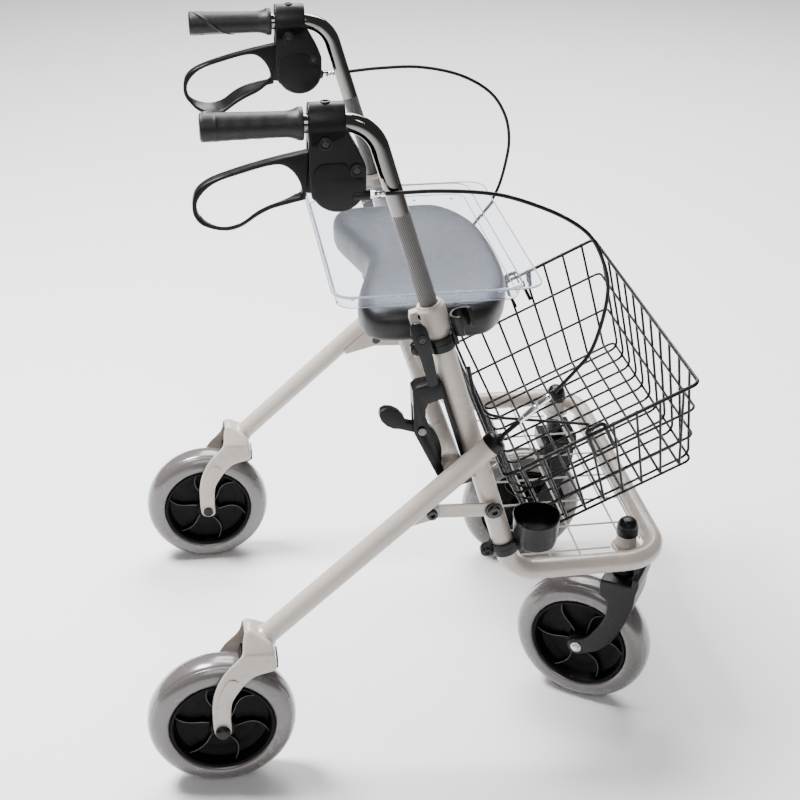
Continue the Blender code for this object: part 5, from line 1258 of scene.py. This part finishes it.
class ROLLATOR_OT_tray(RollatorStep, bpy.types.Operator):
    """Clear tray with sloped walls, a flange and small bosses"""
    bl_idname = "rollator.tray"
    bl_label = "Tray"

    def outline(self, grow, front, height):
        """Level loop, larger than the tray's floor by grow, and longer to the front."""
        points = rounded(-0.112 - grow, 0.125 + grow + front, 0.193 + grow, 0.022 + grow, 8)
        return [(x, y, height) for x, y in points]

    def execute(self, context):
        layers = ((-0.01, 0, 0.655), (-0.0055, 0, 0.655), (-0.0035, 0, 0.6556), (-0.0022, 0, 0.6572),
                  (-0.0005, 0, 0.67), (0.0, 0.0008, 0.6709), (0.001, 0.004, 0.6712),
                  (0.0026, 0.022, 0.6712), (0.003, 0.023, 0.6717), (0.003, 0.023, 0.6728),
                  (0.0026, 0.022, 0.6733), (-0.0005, 0.004, 0.6733), (-0.0018, 0.0008, 0.6728),
                  (-0.0026, 0, 0.6712), (-0.0042, 0, 0.6592), (-0.0052, 0, 0.658), (-0.0068, 0, 0.6575),
                  (-0.01, 0, 0.6575))
        tray = lofted("clear_tray", [self.outline(*layer) for layer in layers])
        beads = []
        for radius, *layer in ((0.0011, 0.003, 0.023, 0.6722), (0.0008, 0.0002, 0.0012, 0.6722),
                               (0.0007, -0.0036, 0.0, 0.6562)):
            beads.append(drawn("bead", [self.outline(*layer)], radius, 8, closed=True))
        edge = merge_into(*beads)
        edge.name = "tray_edges"
        dress(edge, "clear_edge", "tray_body")
        bosses = []
        profile = [(0.0, 0.6572), (0.003, 0.6572), (0.0026, 0.6584), (0.0011, 0.6586), (0.0, 0.658)]
        for x in (-0.088, -0.03, 0.045, 0.1):
            for y in (-0.168, 0.168):
                bosses.append(turned("boss", profile, 0.0004, 20, Matrix.Translation((x, y, 0)), cuts=2))
        dress(tray, "clear", "tray_body", "tray", smooth=50)
        dress(merge_into(*bosses), "clear_edge", "tray_body").name = "tray_bosses"
        return {"FINISHED"}


class ROLLATOR_OT_basket(RollatorStep, bpy.types.Operator):
    """Welded wire basket with its coated hooks, and the handle bow"""
    bl_idname = "rollator.basket"
    bl_label = "Basket"

    def spot(self, along, across, depth):
        return posed((BASKET_BACK[0], 0, BASKET_BACK[1]), -BASKET_TILT) @ Vector((along, across, -depth))

    def limits(self, depth, inset):
        share = depth / BASKET_DEPTH
        half = BASKET_RIM_HALF + (BASKET_FLOOR_HALF - BASKET_RIM_HALF) * share
        return 0.0016 * share + inset, BASKET_LENGTH - 0.042 * share - inset, half - inset

    def level(self, depth, inset):
        """Closed loop at one depth."""
        back, front, half = self.limits(depth, inset)
        return [self.spot(x, y, depth) for x, y in rounded(back, front, half, 0.009, 6)]

    def execute(self, context):
        wire, rim = self.sizes.basket_wire, self.sizes.basket_rim
        floor = BASKET_DEPTH - wire
        back_low, front_low, half_low = self.limits(floor, wire)
        back_top, front_top, half_top = self.limits(0.0, rim)
        long_wires = []
        for i in range(11):
            share = (i - 5) / 5.5
            y_low, y_top = share * half_low, share * half_top * 0.93
            corners = [self.spot(back_top, y_top, 0.0), self.spot(back_low, y_low, floor),
                       self.spot(front_low, y_low, floor), self.spot(front_top, y_top, 0.0)]
            long_wires.append(bent(corners, (0.016, 0.016), math.radians(15)))
        cross_wires = []
        for i in range(8):
            share = (i + 0.65) / 8.3
            x_low = back_low + (front_low - back_low) * share
            x_top = back_top + (front_top - back_top) * share
            corners = [self.spot(x_top, -half_top, 0.0), self.spot(x_low, -half_low, floor - 2 * wire),
                       self.spot(x_low, half_low, floor - 2 * wire), self.spot(x_top, half_top, 0.0)]
            cross_wires.append(bent(corners, (0.01, 0.01), math.radians(15)))
        item = drawn("basket_wires", long_wires + cross_wires, wire, 8)
        loops = [self.level(depth, 2 * wire) for depth in (0.05, 0.102, floor - wire)]
        levels = drawn("basket_levels", loops, wire, 8, closed=True)
        edge = drawn("basket_rim", [self.level(rim, rim)], rim, 12, closed=True)
        eyes = []
        for side in (-1, 1):
            y = side * (BASKET_RIM_HALF - 0.0052)
            circle = [(BAIL_PIVOT[0] + dx, y, BAIL_PIVOT[1] + dz) for dx,
                      dz in arc((0, 0), 0.004, 0, 345, 23)]
            eyes.append(drawn("eye", [circle], 0.0012, 8, closed=True))
        dress(merge_into(item, levels, edge, *eyes), "wire", "basket_body", "basket", smooth=60)
        self.hooks()
        self.bail()
        return {"FINISHED"}

    def hooks(self):
        """Coated loops over the rim of both sides, and hooks behind it at the uprights."""
        routes = []
        for side in (-1, 1):
            out = BASKET_RIM_HALF - 0.0035
            ends = [self.spot(at, side * (out - 0.015), 0.042) for at in (0.121, 0.147)]
            tops = [self.spot(at, side * out, -0.0065) for at in (0.1215, 0.1465)]
            routes.append(bent([ends[0], tops[0], tops[1], ends[1]], (0.007, 0.007), math.radians(15)))
            foot = Vector((0.058, side * 0.22, 0.544))
            routes.append(bent([Vector((0.099, side * 0.22, 0.437)), foot,
                                Vector((0.0505, side * 0.22, 0.58))],
                               (0.03,), math.radians(10)))
        dress(drawn("basket_sleeves", routes, 0.0028, 12), "wire", "basket_body", smooth=60)

    def bail(self):
        x, z = BAIL_PIVOT
        half = [(x, 0.2475, z), (x, 0.2345, z), (0.1023, 0.215, 0.5), (0.078, 0.209, 0.505)]
        corners = half + [(a, -b, c) for a, b, c in reversed(half)]
        path = bent(corners, (0.004, 0.02, 0.012, 0.012, 0.02, 0.004), math.radians(10.0))
        dress(drawn("basket_bow", [path], 0.002, 12), "wire", "bail", "basket_handle", smooth=60)


class ROLLATOR_OT_stage(RollatorStep, bpy.types.Operator):
    """Pale floor, soft studio light and the camera at the photograph's angle"""
    bl_idname = "rollator.stage"
    bl_label = "Stage"

    def execute(self, context):
        bpy.ops.object.select_all(action="DESELECT")
        bpy.ops.mesh.primitive_plane_add(size=60.0, location=(0, 0, 0))
        floor = bpy.context.object
        floor.name = "studio_floor"
        floor.data.materials.append(surface("studio_paper", (0.86, 0.86, 0.86), (0.85, 0.95), 2.0, 0.005))
        world = bpy.data.worlds.new("studio")
        context.scene.world = world
        world.use_nodes = True
        backdrop = world.node_tree.nodes["Background"]
        backdrop.inputs["Color"].default_value = (1.0, 1.0, 1.0, 1)
        backdrop.inputs["Strength"].default_value = 0.12
        lights = (("key", (-1.3, 0.45, 2.9), 0.9, 260.0), ("fill", (-0.4, -2.4, 2.2), 1.4, 26.0),
                  ("top", (0.8, 2.6, 3.9), 3.0, 420.0))
        for name, place, size, power in lights:
            bpy.ops.object.light_add(type="AREA", location=place)
            lamp = bpy.context.object
            lamp.name = "light_" + name
            lamp.data.size = size
            lamp.data.energy = power
            lamp.rotation_euler = (Vector((0, 0, 0.45)) - Vector(place)).to_track_quat("-Z", "Y").to_euler()
        self.camera(context)
        return {"FINISHED"}

    def camera(self, context):
        yaw, pitch, roll = (math.radians(turn) for turn in CAMERA_TURNS)
        look = Vector((math.sin(yaw) * math.cos(pitch), math.cos(yaw) * math.cos(pitch), -math.sin(pitch)))
        right = Vector((math.cos(yaw), -math.sin(yaw), 0.0))
        up = right.cross(look)
        turned_right = right * math.cos(roll) + up * math.sin(roll)
        turned_up = -right * math.sin(roll) + up * math.cos(roll)
        bpy.ops.object.camera_add()
        camera = bpy.context.object
        camera.name = "photo_camera"
        axes = Matrix((turned_right, turned_up, -look)).transposed().to_4x4()
        camera.matrix_world = Matrix.Translation(CAMERA_PLACE) @ axes
        camera.data.lens = CAMERA_LENS
        camera.data.sensor_width = 36.0
        context.scene.camera = camera


STEPS = (ROLLATOR_OT_finishes, ROLLATOR_OT_front_frame, ROLLATOR_OT_fold_parts, ROLLATOR_OT_rear_legs,
         ROLLATOR_OT_wheels, ROLLATOR_OT_casters, ROLLATOR_OT_handles, ROLLATOR_OT_clamps,
         ROLLATOR_OT_cables, ROLLATOR_OT_seat, ROLLATOR_OT_tray, ROLLATOR_OT_basket, ROLLATOR_OT_stage)


class ROLLATOR_PT_panel(bpy.types.Panel):
    """Sizes, colours and steps of the rollator"""
    bl_label = "Rollator"
    bl_idname = "ROLLATOR_PT_panel"
    bl_space_type = "VIEW_3D"
    bl_region_type = "UI"
    bl_category = "Rollator"

    def draw(self, context):
        for group in (context.scene.rollator_sizes, context.scene.rollator_colours):
            column = self.layout.column()
            for name in group.__annotations__:
                column.prop(group, name)
        for step in STEPS:
            self.layout.operator(step.bl_idname)


CLASSES = (RollatorSizes, RollatorColours, *STEPS, ROLLATOR_PT_panel)


def register():
    for kind in CLASSES:
        bpy.utils.register_class(kind)
    bpy.types.Scene.rollator_sizes = PointerProperty(type=RollatorSizes)
    bpy.types.Scene.rollator_colours = PointerProperty(type=RollatorColours)


def unregister():
    del bpy.types.Scene.rollator_colours
    del bpy.types.Scene.rollator_sizes
    for kind in reversed(CLASSES):
        bpy.utils.unregister_class(kind)


def main():
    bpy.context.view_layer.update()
    register()
    bpy.ops.rollator.finishes()
    bpy.ops.rollator.front_frame()
    bpy.ops.rollator.fold_parts()
    bpy.ops.rollator.rear_legs()
    bpy.ops.rollator.wheels()
    bpy.ops.rollator.casters()
    bpy.ops.rollator.handles()
    bpy.ops.rollator.clamps()
    bpy.ops.rollator.cables()
    bpy.ops.rollator.seat()
    bpy.ops.rollator.tray()
    bpy.ops.rollator.basket()
    bpy.ops.rollator.stage()


if __name__ == "__main__":
    main()
